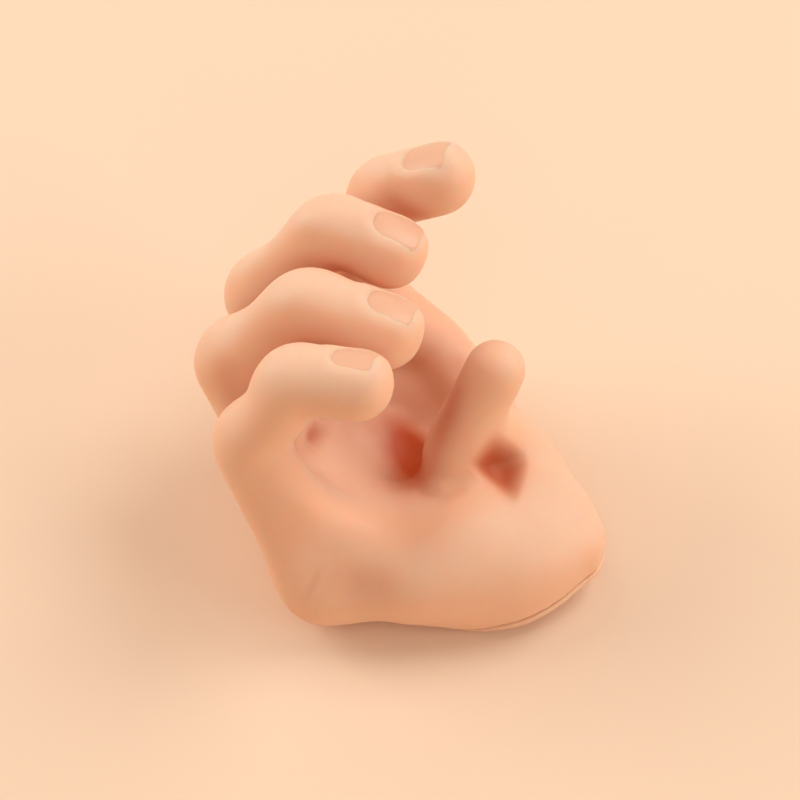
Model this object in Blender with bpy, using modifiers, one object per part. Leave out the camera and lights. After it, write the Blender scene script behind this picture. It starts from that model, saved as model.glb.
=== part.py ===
"""Prop hand: a soft cast right hand that lies on its back with its fingers curled over the palm.

The skin is one soft casting over a stiff core. Bent rods fixed in the core hold the fingers and the
thumb in their pose, nail plates are set in the fingertips, and a thin plate closes the slanted cut
under the heel of the hand. Sizes are in millimetres. The wrist points along +X, the thumb side along
+Y and the palm along +Z.
"""

import math
from collections import namedtuple

import bmesh
import bpy
import numpy as np
from mathutils import Matrix, Vector

MM = 0.001

# A finger: the middle of its knuckle, the length of its three bones, the pitch of each bone up from
# the direction that the open fingers would point in, how far the curl leans over to the thumb side,
# its breadth at the knuckle, middle joint, end joint and tip, and the start of its hand bone.
Finger = namedtuple("Finger", "knuckle bones pitch lean breadth root")
FINGERS = {
    "little": Finger(knuckle=(-8.5, -34.0, 10.4), bones=(42.5, 22.5, 14.0), pitch=(65, 117, 172),
                     lean=10.7, breadth=(21.2, 17.6, 16.8, 16.0), root=(26, -20, 12)),
    "ring": Finger(knuckle=(-18.0, -12.4, 12.4), bones=(42.0, 28.0, 18.0), pitch=(61, 131, 190),
                   lean=9.2, breadth=(22.6, 18.8, 17.4, 17.2), root=(30, -13, 12)),
    "middle": Finger(knuckle=(-19.0, 10.7, 11.6), bones=(42.5, 30.5, 13.8), pitch=(61.5, 127, 195),
                     lean=6.1, breadth=(22.8, 17.8, 17.4, 17.2), root=(32, -5, 12)),
    "index": Finger(knuckle=(-9.9, 32.0, 10.8), bones=(33.6, 26.0, 14.7), pitch=(70, 104, 152),
                    lean=5.0, breadth=(22.8, 19.0, 18.0, 17.2), root=(32, 3, 12)),
}
ROOT_SHARE = 0.8         # breadth at the start of a hand bone over that at its knuckle
WAIST = 0.93             # breadth between two joints over the mean breadth at them
FIRST_WAIST = 0.92       # the same for the first bone
BACK_WAIST = 0.86        # thickness of the back between the middle and end joints, over a round one's
BACK_JOINT = 1.05        # the same at the middle joint and from the end joint on
KNUCKLE_PAD = 1.05       # palm side thickness at the knuckle over the breadth there
FIRST_PAD = 1.28         # the same in the middle of the first bone, over the middle joint's breadth

# The thumb stands up in the palm: its root inside the hand, its base, and the middle of its tip.
THUMB_ROOT = (28.0, 2.0, 14.0)
THUMB_BASE = (12.0, -7.0, 22.0)
THUMB_TIP = (20.0, 7.2, 49.2)
THUMB_BREADTH = (16.0, 17.0, 14.0)
THUMB_SIDE = (1.0, -0.2, 0.0)

FLATNESS = 0.94          # thickness of a finger over its breadth
BEND = 5.0               # half the length that a joint bends over
RING_STEP = 1.6          # distance between two sections of a finger
RING_SIDES = 28
LINE_STEP = 0.25         # distance between the points that a bent line is smoothed at
# Roundness of a tip as seen from above, on the nail side and on the pad side: 2 is a circle.
TIP_ROUND = (2.3, 2.8, 2.0)
TIP_PLACES = (0.25, 0.45, 0.63, 0.78, 0.89, 0.96, 0.995)

# Sections across the palm: place along the hand, near border, far border, back and palm side.
PALM_SECTIONS = (
    (-12.0, -34.0, 37.0, -0.5, 27.0),
    (-4.0, -40.0, 39.0, -0.7, 28.5),
    (8.0, -40.0, 34.0, -0.7, 29.0),
    (20.0, -36.0, 26.0, -4.0, 29.5),
    (31.0, -30.8, 18.0, -9.0, 27.5),
    (40.0, -25.7, 10.0, -10.0, 24.5),
    (46.0, -19.2, 4.8, -7.0, 21.0),
    (49.8, -12.8, -1.0, -4.0, 18.0),
)
# Hollows and pads of the palm: place along and across, reach along and across, and height.
PALM_RELIEF = (
    (0.0, 4.0, 22.0, 25.0, -12.5),
    (22.0, -24.0, 20.0, 13.0, 1.5),
    (24.0, 12.0, 14.0, 10.0, 1.5),
)
PALM_STEP = 2.0
PALM_SIDES = 64
PALM_SQUARENESS = 2.5
END_SQUARENESS = 2.2
HEEL_ROUND = 2.0         # length of the round end past the last section
HEEL_PLACES = (0.4, 0.7, 0.9, 0.98)
FRONT_ROUND = 6.0        # the same at the knuckles
FRONT_PLACES = (0.98, 0.85, 0.6, 0.3)

# Folds of skin, each with the corners of its middle line and its radius there: the web from the
# index finger over to the thumb, the thumb's root, and the ridge from the little finger's root.
FOLDS = (
    (((-14.0, 31.0, 34.4), (0.5, 30.2, 27.0), (15.0, 19.0, 20.5)), (8.5, 7.2, 7.6)),
    (((17.0, 2.0, 36.0), (22.5, 8.0, 25.0), (30.0, 7.0, 18.0)), (8.0, 8.0, 8.0)),
    (((-20.0, -24.5, 32.0), (-8.0, -28.0, 21.5), (10.0, -28.0, 16.5)), (6.5, 9.5, 8.5)),
)

# The pit beside the thumb: middle, half sizes and turn about the vertical.
PIT_MIDDLE = (25.0, -3.7, 27.5)
PIT_SIZE = (4.6, 9.5, 8.0)
PIT_TURN = 20.0
PIT_SIDES = 40

VOXEL = 1.0
SMOOTHING_PASSES = 9
SKIN_FACES = 7400

# The slanted cut under the heel and the plate that closes it.
CUT_START = 26.0         # where the plate meets the table
CUT_SLOPE = 15.0         # degrees up from the table
PLATE_THICKNESS = 2.0

CLEARANCE = 0.3

# Nail plates: the length of each, and their common proportions.
NAIL_LENGTH = {"little": 10.5, "ring": 12.0, "middle": 12.5, "index": 12.0, "thumb": 11.0}
NAIL_BREADTH_SHARE = 0.62
NAIL_THICKNESS = 0.8
NAIL_SINK = 0.5          # how far the top of the plate lies under the round of the finger
NAIL_BACK = 0.8          # how far its middle lies short of the middle of the tip
NAIL_ROLL = {"little": 9, "ring": 8, "middle": 5, "index": -3, "thumb": 0}  # degrees to the thumb side
NAIL_CUT_ABOVE = 1.8     # height of the pocket above the plate
NAIL_ROWS = 11
NAIL_SIDES = 7
NAIL_END = 0.06          # angle left out at both ends of a plate, as a share of a half turn
NAIL_ROOT = 2.4          # squareness of the end under the skin fold
NAIL_FREE_EDGE = 4.5     # the same at the free edge
NAIL_ALONG_ROUND = 26.0
NAIL_ACROSS_ROUND = 1.15

ROD_RADIUS = 1.5
ROD_END_BACK = 2.0       # how far a rod stops short of the middle of the tip
ROD_SEAT = 10.0          # how far a finger's rod goes into the core
ROD_LEAD = 1.0           # straight length between the core and the first bend
ROD_DRAW_IN = 0.75       # place of a rod's seat across the core, as a share of its knuckle's
ROD_STEP = 4.5
ROD_BEVEL_STEPS = 2

CORE_FRONT = -4.0
CORE_BACK = 40.0
CORE_LOW = 7.0
CORE_HIGH = 12.5
CORE_OUTLINE = (
    (CORE_FRONT, -27.0), (CORE_FRONT, 24.0), (10.0, 19.0), (24.0, 10.0),
    (CORE_BACK, 0.0), (CORE_BACK, -19.0), (24.0, -27.0),
)
CORNER_SPREAD = 1.4      # how far a corner of the core moves for each unit that its sides do
THUMB_SEAT_FLOOR = 1.0   # what is left of the core under the thumb's rod

SCREW_ROW = CORE_BACK - 6.0
SCREW_PLACES = ((SCREW_ROW, -14.0), (SCREW_ROW, -3.0), (CORE_BACK, -8.5))
FOOT_MARGIN = 4.0        # how far the foot of the core reaches past the screws' middles
FOOT_BOTTOM = -10.0      # under the cut, which trims the foot
FOOT_STEP = 1.0          # how far the top of the foot lies under the top of the core
SCREW_HEAD_RADIUS = 2.8
SCREW_HEAD_HEIGHT = 1.5
SCREW_SHANK_RADIUS = 1.25
SCREW_LENGTH = 8.0
SCREW_SINK = 0.2         # how far the head lies under the face of the plate
SCREW_MOUTH = 2.0        # length of the hole above the head
SCREW_SIDES = 20

BLOCK = 120.0            # reach of the blocks that cut the whole hand
WELD = 0.01

SKIN_COLOUR = (0.86, 0.50, 0.33)
NAIL_COLOUR = (0.87, 0.52, 0.37)
CORE_COLOUR = (0.75, 0.72, 0.62)
STEEL_COLOUR = (0.55, 0.55, 0.56)


def material(name, colour, roughness, metallic=0.0):
    made = bpy.data.materials.new(name)
    made.use_nodes = True
    shader = made.node_tree.nodes["Principled BSDF"]
    shader.inputs["Base Color"].default_value = (*colour, 1.0)
    shader.inputs["Roughness"].default_value = roughness
    shader.inputs["Metallic"].default_value = metallic
    return made


def new_object(name, mesh, collection, look=None):
    made = bpy.data.objects.new(name, mesh)
    collection.objects.link(made)
    if look:
        mesh.materials.clear()
        mesh.materials.append(look)
    return made


def hide_cutter(cutter):
    cutter.hide_render = True
    cutter.display_type = "WIRE"
    return cutter


def evaluated_mesh(source, name):
    """The mesh that an object shows once its modifiers or its curve have been worked out."""
    bpy.context.view_layer.update()
    seen = source.evaluated_get(bpy.context.evaluated_depsgraph_get())
    mesh = bpy.data.meshes.new_from_object(seen)
    mesh.name = name
    mesh.transform(source.matrix_world)
    return mesh


def mesh_of(shape, name):
    """A mesh from a bmesh, with its doubled points welded and its faces turned outwards."""
    bmesh.ops.remove_doubles(shape, verts=shape.verts, dist=WELD * MM)
    bmesh.ops.recalc_face_normals(shape, faces=shape.faces)
    mesh = bpy.data.meshes.new(name)
    shape.to_mesh(mesh)
    shape.free()
    return mesh


def drawn_mesh(curve, name, height, collection):
    """The closed mesh of a curve, drawn at a height above the table."""
    drawn = bpy.data.objects.new(name + "_line", curve)
    collection.objects.link(drawn)
    drawn.location.z = height * MM
    shape = bmesh.new()
    shape.from_mesh(evaluated_mesh(drawn, name + "_drawn"))
    bpy.data.objects.remove(drawn)
    return mesh_of(shape, name)


def boolean(target, operation, other):
    step = target.modifiers.new(other.name, "BOOLEAN")
    step.operation = operation
    step.solver = "EXACT"
    step.object = other


def moved_to(made, name, collection):
    made.name = name
    for owner in list(made.users_collection):
        owner.objects.unlink(made)
    collection.objects.link(made)
    return made


def box(name, low, high, collection):
    bpy.ops.mesh.primitive_cube_add(size=1.0)
    made = moved_to(bpy.context.active_object, name, collection)
    low, high = Vector(low) * MM, Vector(high) * MM
    made.data.transform(Matrix.Translation((low + high) / 2) @ Matrix.Diagonal((*(high - low), 1.0)))
    return hide_cutter(made)


def ellipsoid(name, middle, size, turn, collection):
    bpy.ops.mesh.primitive_uv_sphere_add(segments=PIT_SIDES, ring_count=PIT_SIDES // 2, radius=1.0)
    made = moved_to(bpy.context.active_object, name, collection)
    made.data.transform(Matrix.Translation(Vector(middle) * MM)
                        @ Matrix.Rotation(math.radians(turn), 4, "Z")
                        @ Matrix.Diagonal((*(Vector(size) * MM), 1.0)))
    return hide_cutter(made)


def loft(shape, rings):
    """Adds a closed skin over rings of equal count to a bmesh, with a fan over each end."""
    rows = [[shape.verts.new(Vector(point) * MM) for point in ring] for ring in rings]
    count = len(rows[0])
    for row, following in zip(rows, rows[1:]):
        for k in range(count):
            after = (k + 1) % count
            shape.faces.new((row[k], row[after], following[after], following[k]))
    for row, turned in ((rows[0], True), (rows[-1], False)):
        middle = shape.verts.new(sum((v.co for v in row), Vector()) / count)
        for k in range(count):
            pair = (row[k], row[(k + 1) % count])
            shape.faces.new((middle, *reversed(pair)) if turned else (middle, *pair))


def eased(knots, values, places):
    """Values between knots that start and end level at each knot."""
    spot = np.clip(np.searchsorted(knots, places, side="right") - 1, 0, len(knots) - 2)
    knots, values = np.asarray(knots, float), np.asarray(values, float)
    share = np.clip((places - knots[spot]) / (knots[spot + 1] - knots[spot]), 0, 1)
    share = share * share * (3 - 2 * share)
    return values[spot] + (values[spot + 1] - values[spot]) * share


def smooth_through(knots, values, place):
    """A smooth curve through the values, with the slope at each from its two neighbours."""
    slopes = np.gradient(values, knots)
    k = int(np.clip(np.searchsorted(knots, place, side="right") - 1, 0, len(knots) - 2))
    width = knots[k + 1] - knots[k]
    t = (place - knots[k]) / width
    start, end = values[k], values[k + 1]
    return ((2 * t ** 3 - 3 * t ** 2 + 1) * start + (t ** 3 - 2 * t ** 2 + t) * width * slopes[k]
            + (3 * t ** 2 - 2 * t ** 3) * end + (t ** 3 - t ** 2) * width * slopes[k + 1])


def rounded(share, squareness):
    """How far an end that rounds off has drawn in, at a share of its length."""
    return (1 - share ** squareness) ** (1 / squareness)


def bent_path(corners, step):
    """A line through the corners, bent over 2 * BEND at each, and each point's corner number."""
    corners = [np.asarray(corner, float) for corner in corners]
    points, numbers = [corners[0]], [0.0]
    for number, (start, end) in enumerate(zip(corners, corners[1:])):
        count = max(2, int(np.linalg.norm(end - start) / LINE_STEP))
        for k in range(1, count + 1):
            points.append(start + (end - start) * k / count)
            numbers.append(number + k / count)
    rows = np.column_stack([np.array(points), numbers])
    width = int(BEND / LINE_STEP)
    for _ in range(2):
        before = rows[0] + (rows[0] - rows[1]) * np.arange(width, 0, -1)[:, None]
        beyond = rows[-1] + (rows[-1] - rows[-2]) * np.arange(1, width + 1)[:, None]
        padded = np.vstack([before, rows, beyond])
        sums = np.cumsum(np.vstack([np.zeros(4), padded]), axis=0)
        rows = (sums[width:] - sums[:-width])[width // 2: width // 2 + len(rows)] / width
    steps = np.linalg.norm(np.diff(rows[:, :3], axis=0), axis=1)
    length = np.concatenate([[0], np.cumsum(steps)])
    places = np.linspace(0, length[-1], int(length[-1] / step) + 1)
    even = np.column_stack([np.interp(places, length, rows[:, k]) for k in range(4)])
    return even[:, :3], even[:, 3]


def finger_joints(finger):
    """The knuckle, middle joint, end joint and middle of the tip."""
    lean = math.radians(finger.lean)
    up = np.array([0.0, math.sin(lean), math.cos(lean)])
    side = np.array([0.0, math.cos(lean), -math.sin(lean)])
    open_way = np.array([-1.0, 0.0, 0.0])
    joints = [np.array(finger.knuckle, float)]
    for length, pitch in zip(finger.bones, finger.pitch):
        turn = math.radians(pitch)
        joints.append(joints[-1] + length * (math.sin(turn) * up + math.cos(turn) * open_way))
    return joints, side


def frames(points, side):
    """Direction, side and back of a digit at each point of its middle line."""
    along = np.gradient(points, axis=0)
    along /= np.linalg.norm(along, axis=1)[:, None]
    across = side - along * (along @ side)[:, None]
    across /= np.linalg.norm(across, axis=1)[:, None]
    return along, across, np.cross(along, across)


def digit_sections(points, side, half, back, front):
    """Oval sections along a digit, then a tip that is straighter on the nail side."""
    along, across, outward = frames(points, side)
    angles = np.arange(RING_SIDES) * 2 * math.pi / RING_SIDES
    cosine, sine = np.cos(angles)[:, None], np.sin(angles)[:, None]

    def section(k, middle, wide, high, low):
        return middle + wide * cosine * across[k] + np.where(sine > 0, high, low) * sine * outward[k]

    sections = [section(k, points[k], half[k], back[k], front[k]) for k in range(len(points))]
    for share in TIP_PLACES:
        wide, high, low = [size[-1] * rounded(share, squareness)
                           for size, squareness in zip((half, back, front), TIP_ROUND)]
        sections.append(section(-1, points[-1] + along[-1] * half[-1] * share, wide, high, low))
    return sections


def finger_sections(finger):
    joints, side = finger_joints(finger)
    points, numbers = bent_path([finger.root, *joints], RING_STEP)
    knuckle, middle, end, tip = finger.breadth
    knots = (0, 1, 1.5, 2, 2.5, 3, 3.5, 4)
    breadth = (knuckle * ROOT_SHARE, knuckle, FIRST_WAIST * (knuckle + middle) / 2, middle,
               WAIST * (middle + end) / 2, end, WAIST * (end + tip) / 2, tip)
    pad = (knuckle * ROOT_SHARE, knuckle * KNUCKLE_PAD, middle * FIRST_PAD, middle, middle, end, end, tip)
    swell = (1, 1, 1, BACK_JOINT, BACK_WAIST, BACK_JOINT, BACK_JOINT, BACK_JOINT)
    half = eased(knots, breadth, numbers) / 2
    back = half * eased(knots, swell, numbers)
    front = eased(knots, pad, numbers) / 2
    return digit_sections(points, side, half, back * FLATNESS, front * FLATNESS)


def thumb_sections():
    points, numbers = bent_path([THUMB_ROOT, THUMB_BASE, THUMB_TIP], RING_STEP)
    half = eased((0, 1, 2), THUMB_BREADTH, numbers) / 2
    return digit_sections(points, np.array(THUMB_SIDE), half, half * FLATNESS, half * FLATNESS)


def fold_sections(line, radii):
    points, numbers = bent_path(line, RING_STEP)
    half = eased(range(len(radii)), radii, numbers)
    return digit_sections(points, np.array([0.0, 1.0, 0.0]), half, half, half)


def palm_relief(place, across):
    """How far the hollows and pads of the palm move its surface at each point."""
    rise = np.zeros_like(across)
    for middle, middle_across, reach, reach_across, height in PALM_RELIEF:
        away = ((place - middle) / reach) ** 2 + ((across - middle_across) / reach_across) ** 2
        rise += height * np.clip(1 - away, 0, None) ** 2
    return rise


def palm_ring(place, near, far, low, high, scale=1.0):
    angles = np.arange(PALM_SIDES) * 2 * math.pi / PALM_SIDES
    power = 2 / PALM_SQUARENESS
    cosine, sine = np.cos(angles), np.sin(angles)
    y = (near + far) / 2 + scale * (far - near) / 2 * np.sign(cosine) * np.abs(cosine) ** power
    z = (low + high) / 2 + scale * (high - low) / 2 * np.sign(sine) * np.abs(sine) ** power
    z += palm_relief(place, y) * np.sqrt(np.clip(sine, 0, None))
    return np.column_stack([np.full(PALM_SIDES, place), y, z])


def palm_sections():
    table = np.array(PALM_SECTIONS)
    first, last = table[0, 0], table[-1, 0]
    sections = [palm_ring(first - FRONT_ROUND * share, *table[0, 1:], rounded(share, END_SQUARENESS))
                for share in FRONT_PLACES]
    for place in np.linspace(first, last, int((last - first) / PALM_STEP) + 1):
        borders = [smooth_through(table[:, 0], table[:, k], place) for k in range(1, 5)]
        sections.append(palm_ring(place, *borders))
    sections += [palm_ring(last + HEEL_ROUND * share, *table[-1, 1:], rounded(share, END_SQUARENESS))
                 for share in HEEL_PLACES]
    return sections


def fuse(form):
    """Joins what touches into one skin of even faces."""
    step = form.modifiers.new("Fuse", "REMESH")
    step.mode = "VOXEL"
    step.voxel_size = VOXEL * MM


def hand_form(cutters):
    """The whole outer form of the hand as one smooth solid, before it is cut and hollowed."""
    shape = bmesh.new()
    loft(shape, palm_sections())
    for finger in FINGERS.values():
        loft(shape, finger_sections(finger))
    loft(shape, thumb_sections())
    for line, radii in FOLDS:
        loft(shape, fold_sections(line, radii))
    form = hide_cutter(new_object("hand_form", mesh_of(shape, "hand_form"), cutters))
    fuse(form)
    boolean(form, "DIFFERENCE", ellipsoid("thumb_pit", PIT_MIDDLE, PIT_SIZE, PIT_TURN, cutters))
    fuse(form)
    soften = form.modifiers.new("Soften", "SMOOTH")
    soften.factor = 0.5
    soften.iterations = round(SMOOTHING_PASSES)
    mesh = evaluated_mesh(form, "hand_form_done")
    form.modifiers.clear()
    form.data = mesh
    thin = form.modifiers.new("Thin", "DECIMATE")
    thin.ratio = SKIN_FACES / (2 * len(mesh.polygons))
    return form


def tube(name, points, radius, collection):
    """A round rod along a line of points, as a closed mesh."""
    curve = bpy.data.curves.new(name + "_line", "CURVE")
    curve.dimensions = "3D"
    curve.bevel_depth = radius * MM
    curve.bevel_resolution = round(ROD_BEVEL_STEPS)
    curve.use_fill_caps = True
    line = curve.splines.new("POLY")
    line.points.add(len(points) - 1)
    for spot, point in zip(line.points, points):
        spot.co = (*(Vector(point) * MM), 1.0)
    return new_object(name, drawn_mesh(curve, name, 0.0, collection), collection)


def rod_line(digit):
    """The middle line of a digit's rod, from its seat in the core to short of the tip's middle."""
    if digit == "thumb":
        x, y, _ = THUMB_BASE
        corners = [(x, y, CORE_LOW + THUMB_SEAT_FLOOR), THUMB_BASE, THUMB_TIP]
    else:
        joints, _ = finger_joints(FINGERS[digit])
        across = joints[0][1] * ROD_DRAW_IN
        core_middle = (CORE_LOW + CORE_HIGH) / 2
        corners = [(CORE_FRONT + ROD_SEAT, across, core_middle),
                   (CORE_FRONT - ROD_LEAD, across, core_middle), *joints]
    corners = [np.array(corner, float) for corner in corners]
    last = corners[-1] - corners[-2]
    corners[-1] -= last / np.linalg.norm(last) * ROD_END_BACK
    points, _ = bent_path(corners, ROD_STEP)
    return points


def longer(points, extra):
    """The same line, carried on by an extra length at both ends."""
    start, end = points[0] - points[1], points[-1] - points[-2]
    return np.vstack([points[0] + start / np.linalg.norm(start) * extra, points[1:-1],
                      points[-1] + end / np.linalg.norm(end) * extra])


def cut_place(along, out):
    """A point of the slanted cut: its place along the hand, and how far outside the plate it lies."""
    slope = math.radians(CUT_SLOPE)
    start = Vector((CUT_START, 0.0, 0.0))
    down = Vector((math.sin(slope), 0.0, -math.cos(slope)))
    forward = Vector((math.cos(slope), 0.0, math.sin(slope)))
    return start + forward * ((along - CUT_START) / math.cos(slope)) + down * out


def slanted_box(name, low, high, collection):
    """A wide box whose top and bottom follow the cut, from low to high outside the plate's face."""
    made = box(name, (-BLOCK, -BLOCK, -high), (BLOCK, BLOCK, -low), collection)
    made.data.transform(Matrix.Translation(Vector((CUT_START, 0, 0)) * MM)
                        @ Matrix.Rotation(-math.radians(CUT_SLOPE), 4, "Y"))
    return made


def core_solid(name, grow, collection, cutters):
    """The stiff core, or the same grown all round by a clearance."""
    outline = bpy.data.curves.new(name + "_outline", "CURVE")
    outline.dimensions = "2D"
    outline.fill_mode = "BOTH"
    outline.extrude = ((CORE_HIGH - CORE_LOW) / 2 + grow) * MM
    line = outline.splines.new("POLY")
    line.points.add(len(CORE_OUTLINE) - 1)
    line.use_cyclic_u = True
    corners = np.array(CORE_OUTLINE)
    for spot, corner in zip(line.points, corners):
        away = corner - corners.mean(axis=0)
        x, y = corner + away / np.linalg.norm(away) * grow * CORNER_SPREAD
        spot.co = (x * MM, y * MM, 0.0, 1.0)
    slab = new_object(name, drawn_mesh(outline, name, (CORE_LOW + CORE_HIGH) / 2, cutters), collection)
    places, margin = np.array(SCREW_PLACES), FOOT_MARGIN + grow
    foot = box(name + "_foot", (*(places.min(axis=0) - margin), FOOT_BOTTOM),
               (*(places.max(axis=0) + margin), CORE_HIGH + grow - FOOT_STEP), cutters)
    boolean(slab, "UNION", foot)
    return slab


def nail_frame(digit):
    """The middle of a nail plate's top, its directions along, across and out, and the breadth."""
    if digit == "thumb":
        corners = [np.array(THUMB_BASE), np.array(THUMB_TIP)]
        side, breadth, swell = np.array(THUMB_SIDE), THUMB_BREADTH[-1], 1.0
    else:
        corners, side = finger_joints(FINGERS[digit])
        breadth, swell = FINGERS[digit].breadth[-1], BACK_JOINT
    along = corners[-1] - corners[-2]
    along /= np.linalg.norm(along)
    side = side - along * (along @ side)
    side /= np.linalg.norm(side)
    out = np.cross(along, side)
    roll = math.radians(NAIL_ROLL[digit])
    side, out = (side * math.cos(roll) - out * math.sin(roll),
                 out * math.cos(roll) + side * math.sin(roll))
    middle = corners[-1] - along * NAIL_BACK + out * (breadth / 2 * FLATNESS * swell - NAIL_SINK)
    return middle, along, side, out, breadth


def nail_solid(name, digit, grow, below, above, collection):
    """A curved nail plate, or the pocket that it is set in: rows along the nail, arcs across it."""
    middle, along, side, out, breadth = nail_frame(digit)
    half_length = NAIL_LENGTH[digit] / 2 + grow
    half_breadth = breadth * NAIL_BREADTH_SHARE / 2 + grow
    rings = []
    for share in np.cos(np.linspace(math.pi * (1 - NAIL_END), math.pi * NAIL_END, NAIL_ROWS)):
        wide = half_breadth * rounded(abs(share), NAIL_FREE_EDGE if share > 0 else NAIL_ROOT)
        place = share * half_length
        across = np.linspace(-wide, wide, NAIL_SIDES)
        sink = across ** 2 / (breadth * NAIL_ACROSS_ROUND) + place ** 2 / (2 * NAIL_ALONG_ROUND)
        row = middle + along * place + across[:, None] * side - sink[:, None] * out
        rings.append(np.vstack([row + above * out, (row - below * out)[::-1]]))
    shape = bmesh.new()
    loft(shape, rings)
    return new_object(name, mesh_of(shape, name), collection)


def screw_solid(name, place, grow, collection):
    """A countersunk screw, square to the plate, or the hole that it fills."""
    head, shank = SCREW_HEAD_RADIUS + grow, SCREW_SHANK_RADIUS + grow
    top = SCREW_MOUTH if grow else 0.0
    end = -SCREW_LENGTH - grow
    profile = [(0, top), (head, top), (shank, -SCREW_HEAD_HEIGHT - grow), (shank, end), (0, end)]
    if grow:
        profile.insert(2, (head, 0.0))
    mesh = bpy.data.meshes.new(name)
    mesh.from_pydata([(x * MM, 0.0, z * MM) for x, z in profile],
                     [(k, k + 1) for k in range(len(profile) - 1)], [])
    turned = new_object(name, mesh, collection)
    spin = turned.modifiers.new("Turn", "SCREW")
    spin.steps = spin.render_steps = SCREW_SIDES
    spin.use_merge_vertices = True
    spin.merge_threshold = WELD * MM
    down = cut_place(place[0], 1.0) - cut_place(place[0], 0.0)
    turned.rotation_euler = down.to_track_quat("Z", "Y").to_euler()
    turned.location = (cut_place(place[0], -SCREW_SINK) + Vector((0, place[1], 0))) * MM
    return turned


def main():
    for old in list(bpy.data.objects):
        bpy.data.objects.remove(old)
    parts = bpy.data.collections.new("prop_hand")
    cutters = bpy.data.collections.new("cutters")
    bpy.context.scene.collection.children.link(parts)
    bpy.context.scene.collection.children.link(cutters)
    skin_look = material("skin", SKIN_COLOUR, 0.5)
    nail_look = material("nail", NAIL_COLOUR, 0.3)
    core_look = material("core", CORE_COLOUR, 0.7)
    steel_look = material("steel", STEEL_COLOUR, 0.35, 1.0)

    form = hand_form(cutters)
    below_table = box("below_table", (-BLOCK, -BLOCK, -BLOCK), (BLOCK, BLOCK, 0.0), cutters)
    past_skin = slanted_box("past_skin", -PLATE_THICKNESS - CLEARANCE, BLOCK, cutters)
    plate_slab = slanted_box("plate_slab", -PLATE_THICKNESS, 0.0, cutters)

    skin = new_object("hand_skin", evaluated_mesh(form, "hand_skin"), parts, skin_look)
    skin.data.shade_smooth()
    boolean(skin, "DIFFERENCE", below_table)
    boolean(skin, "DIFFERENCE", past_skin)
    boolean(skin, "DIFFERENCE", hide_cutter(core_solid("core_pocket", CLEARANCE, cutters, cutters)))

    core = core_solid("palm_core", 0.0, parts, cutters)
    core.data.materials.append(core_look)
    boolean(core, "DIFFERENCE", past_skin)

    plate = new_object("wrist_plate", evaluated_mesh(form, "wrist_plate"), parts, skin_look)
    boolean(plate, "INTERSECT", plate_slab)
    boolean(plate, "DIFFERENCE", below_table)

    for digit in (*FINGERS, "thumb"):
        points = rod_line(digit)
        rod = tube(digit + "_rod", points, ROD_RADIUS, parts)
        rod.data.materials.append(steel_look)
        bore = tube(digit + "_bore", longer(points, CLEARANCE), ROD_RADIUS + CLEARANCE, cutters)
        boolean(skin, "DIFFERENCE", hide_cutter(bore))
        boolean(core, "DIFFERENCE", bore)
        nail = nail_solid(digit + "_nail", digit, 0.0, NAIL_THICKNESS, 0.0, parts)
        nail.data.materials.append(nail_look)
        pocket = nail_solid(digit + "_nail_pocket", digit, CLEARANCE, NAIL_THICKNESS + CLEARANCE,
                            NAIL_CUT_ABOVE, cutters)
        boolean(skin, "DIFFERENCE", hide_cutter(pocket))

    for number, place in enumerate(SCREW_PLACES, 1):
        screw = screw_solid(f"wrist_screw_{number}", place, 0.0, parts)
        screw.data.materials.append(steel_look)
        hole = hide_cutter(screw_solid(f"screw_hole_{number}", place, CLEARANCE, cutters))
        boolean(plate, "DIFFERENCE", hole)
        boolean(core, "DIFFERENCE", hole)


main()
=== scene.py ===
"""The dressed prop hand: a soft silicone cast of a right hand, lying on its back on a pale floor.

Sizes are in millimetres in the CAD frame: the wrist points along +X, the thumb side along +Y and the
palm along +Z. Places named in pixels are of the 800 by 800 photograph.
"""

import math
from collections import namedtuple
from functools import partial

import bmesh
import bpy
import numpy as np
from mathutils import Matrix, Vector
from mathutils.bvhtree import BVHTree
from mathutils.kdtree import KDTree


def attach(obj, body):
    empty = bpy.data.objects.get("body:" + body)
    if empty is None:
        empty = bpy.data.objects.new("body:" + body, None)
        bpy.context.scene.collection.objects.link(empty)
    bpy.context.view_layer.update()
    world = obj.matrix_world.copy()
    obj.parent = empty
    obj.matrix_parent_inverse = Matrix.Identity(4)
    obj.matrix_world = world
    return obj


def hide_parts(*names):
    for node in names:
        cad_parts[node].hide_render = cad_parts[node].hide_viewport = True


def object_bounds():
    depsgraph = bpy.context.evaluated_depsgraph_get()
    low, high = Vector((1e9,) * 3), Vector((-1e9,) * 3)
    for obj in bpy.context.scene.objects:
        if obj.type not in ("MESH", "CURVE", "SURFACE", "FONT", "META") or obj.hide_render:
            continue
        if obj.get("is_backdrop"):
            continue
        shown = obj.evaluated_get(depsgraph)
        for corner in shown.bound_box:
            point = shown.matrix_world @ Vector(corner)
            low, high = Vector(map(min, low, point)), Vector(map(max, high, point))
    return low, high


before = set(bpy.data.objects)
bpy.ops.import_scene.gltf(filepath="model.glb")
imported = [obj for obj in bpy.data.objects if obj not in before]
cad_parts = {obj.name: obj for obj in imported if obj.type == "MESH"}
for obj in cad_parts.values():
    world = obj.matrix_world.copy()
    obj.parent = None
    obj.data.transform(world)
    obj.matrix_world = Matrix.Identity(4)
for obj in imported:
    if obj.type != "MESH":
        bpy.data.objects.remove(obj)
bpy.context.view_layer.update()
MM = 0.001


# Camera.
# It stands where the photograph was taken from: a long lens that looks down into the palm. The pit
# and the creases are laid out through it, from the pixels that they cover.
CAMERA_AZIMUTH = math.radians(17.0)
CAMERA_ELEVATION = math.radians(50.0)
CAMERA_DISTANCE = 430.0
CAMERA_TARGET = Vector((0.0, 0.0, 40.2))
LENS, SENSOR, FRAME_PIXELS = 85.0, 36.0, 800.0


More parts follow.
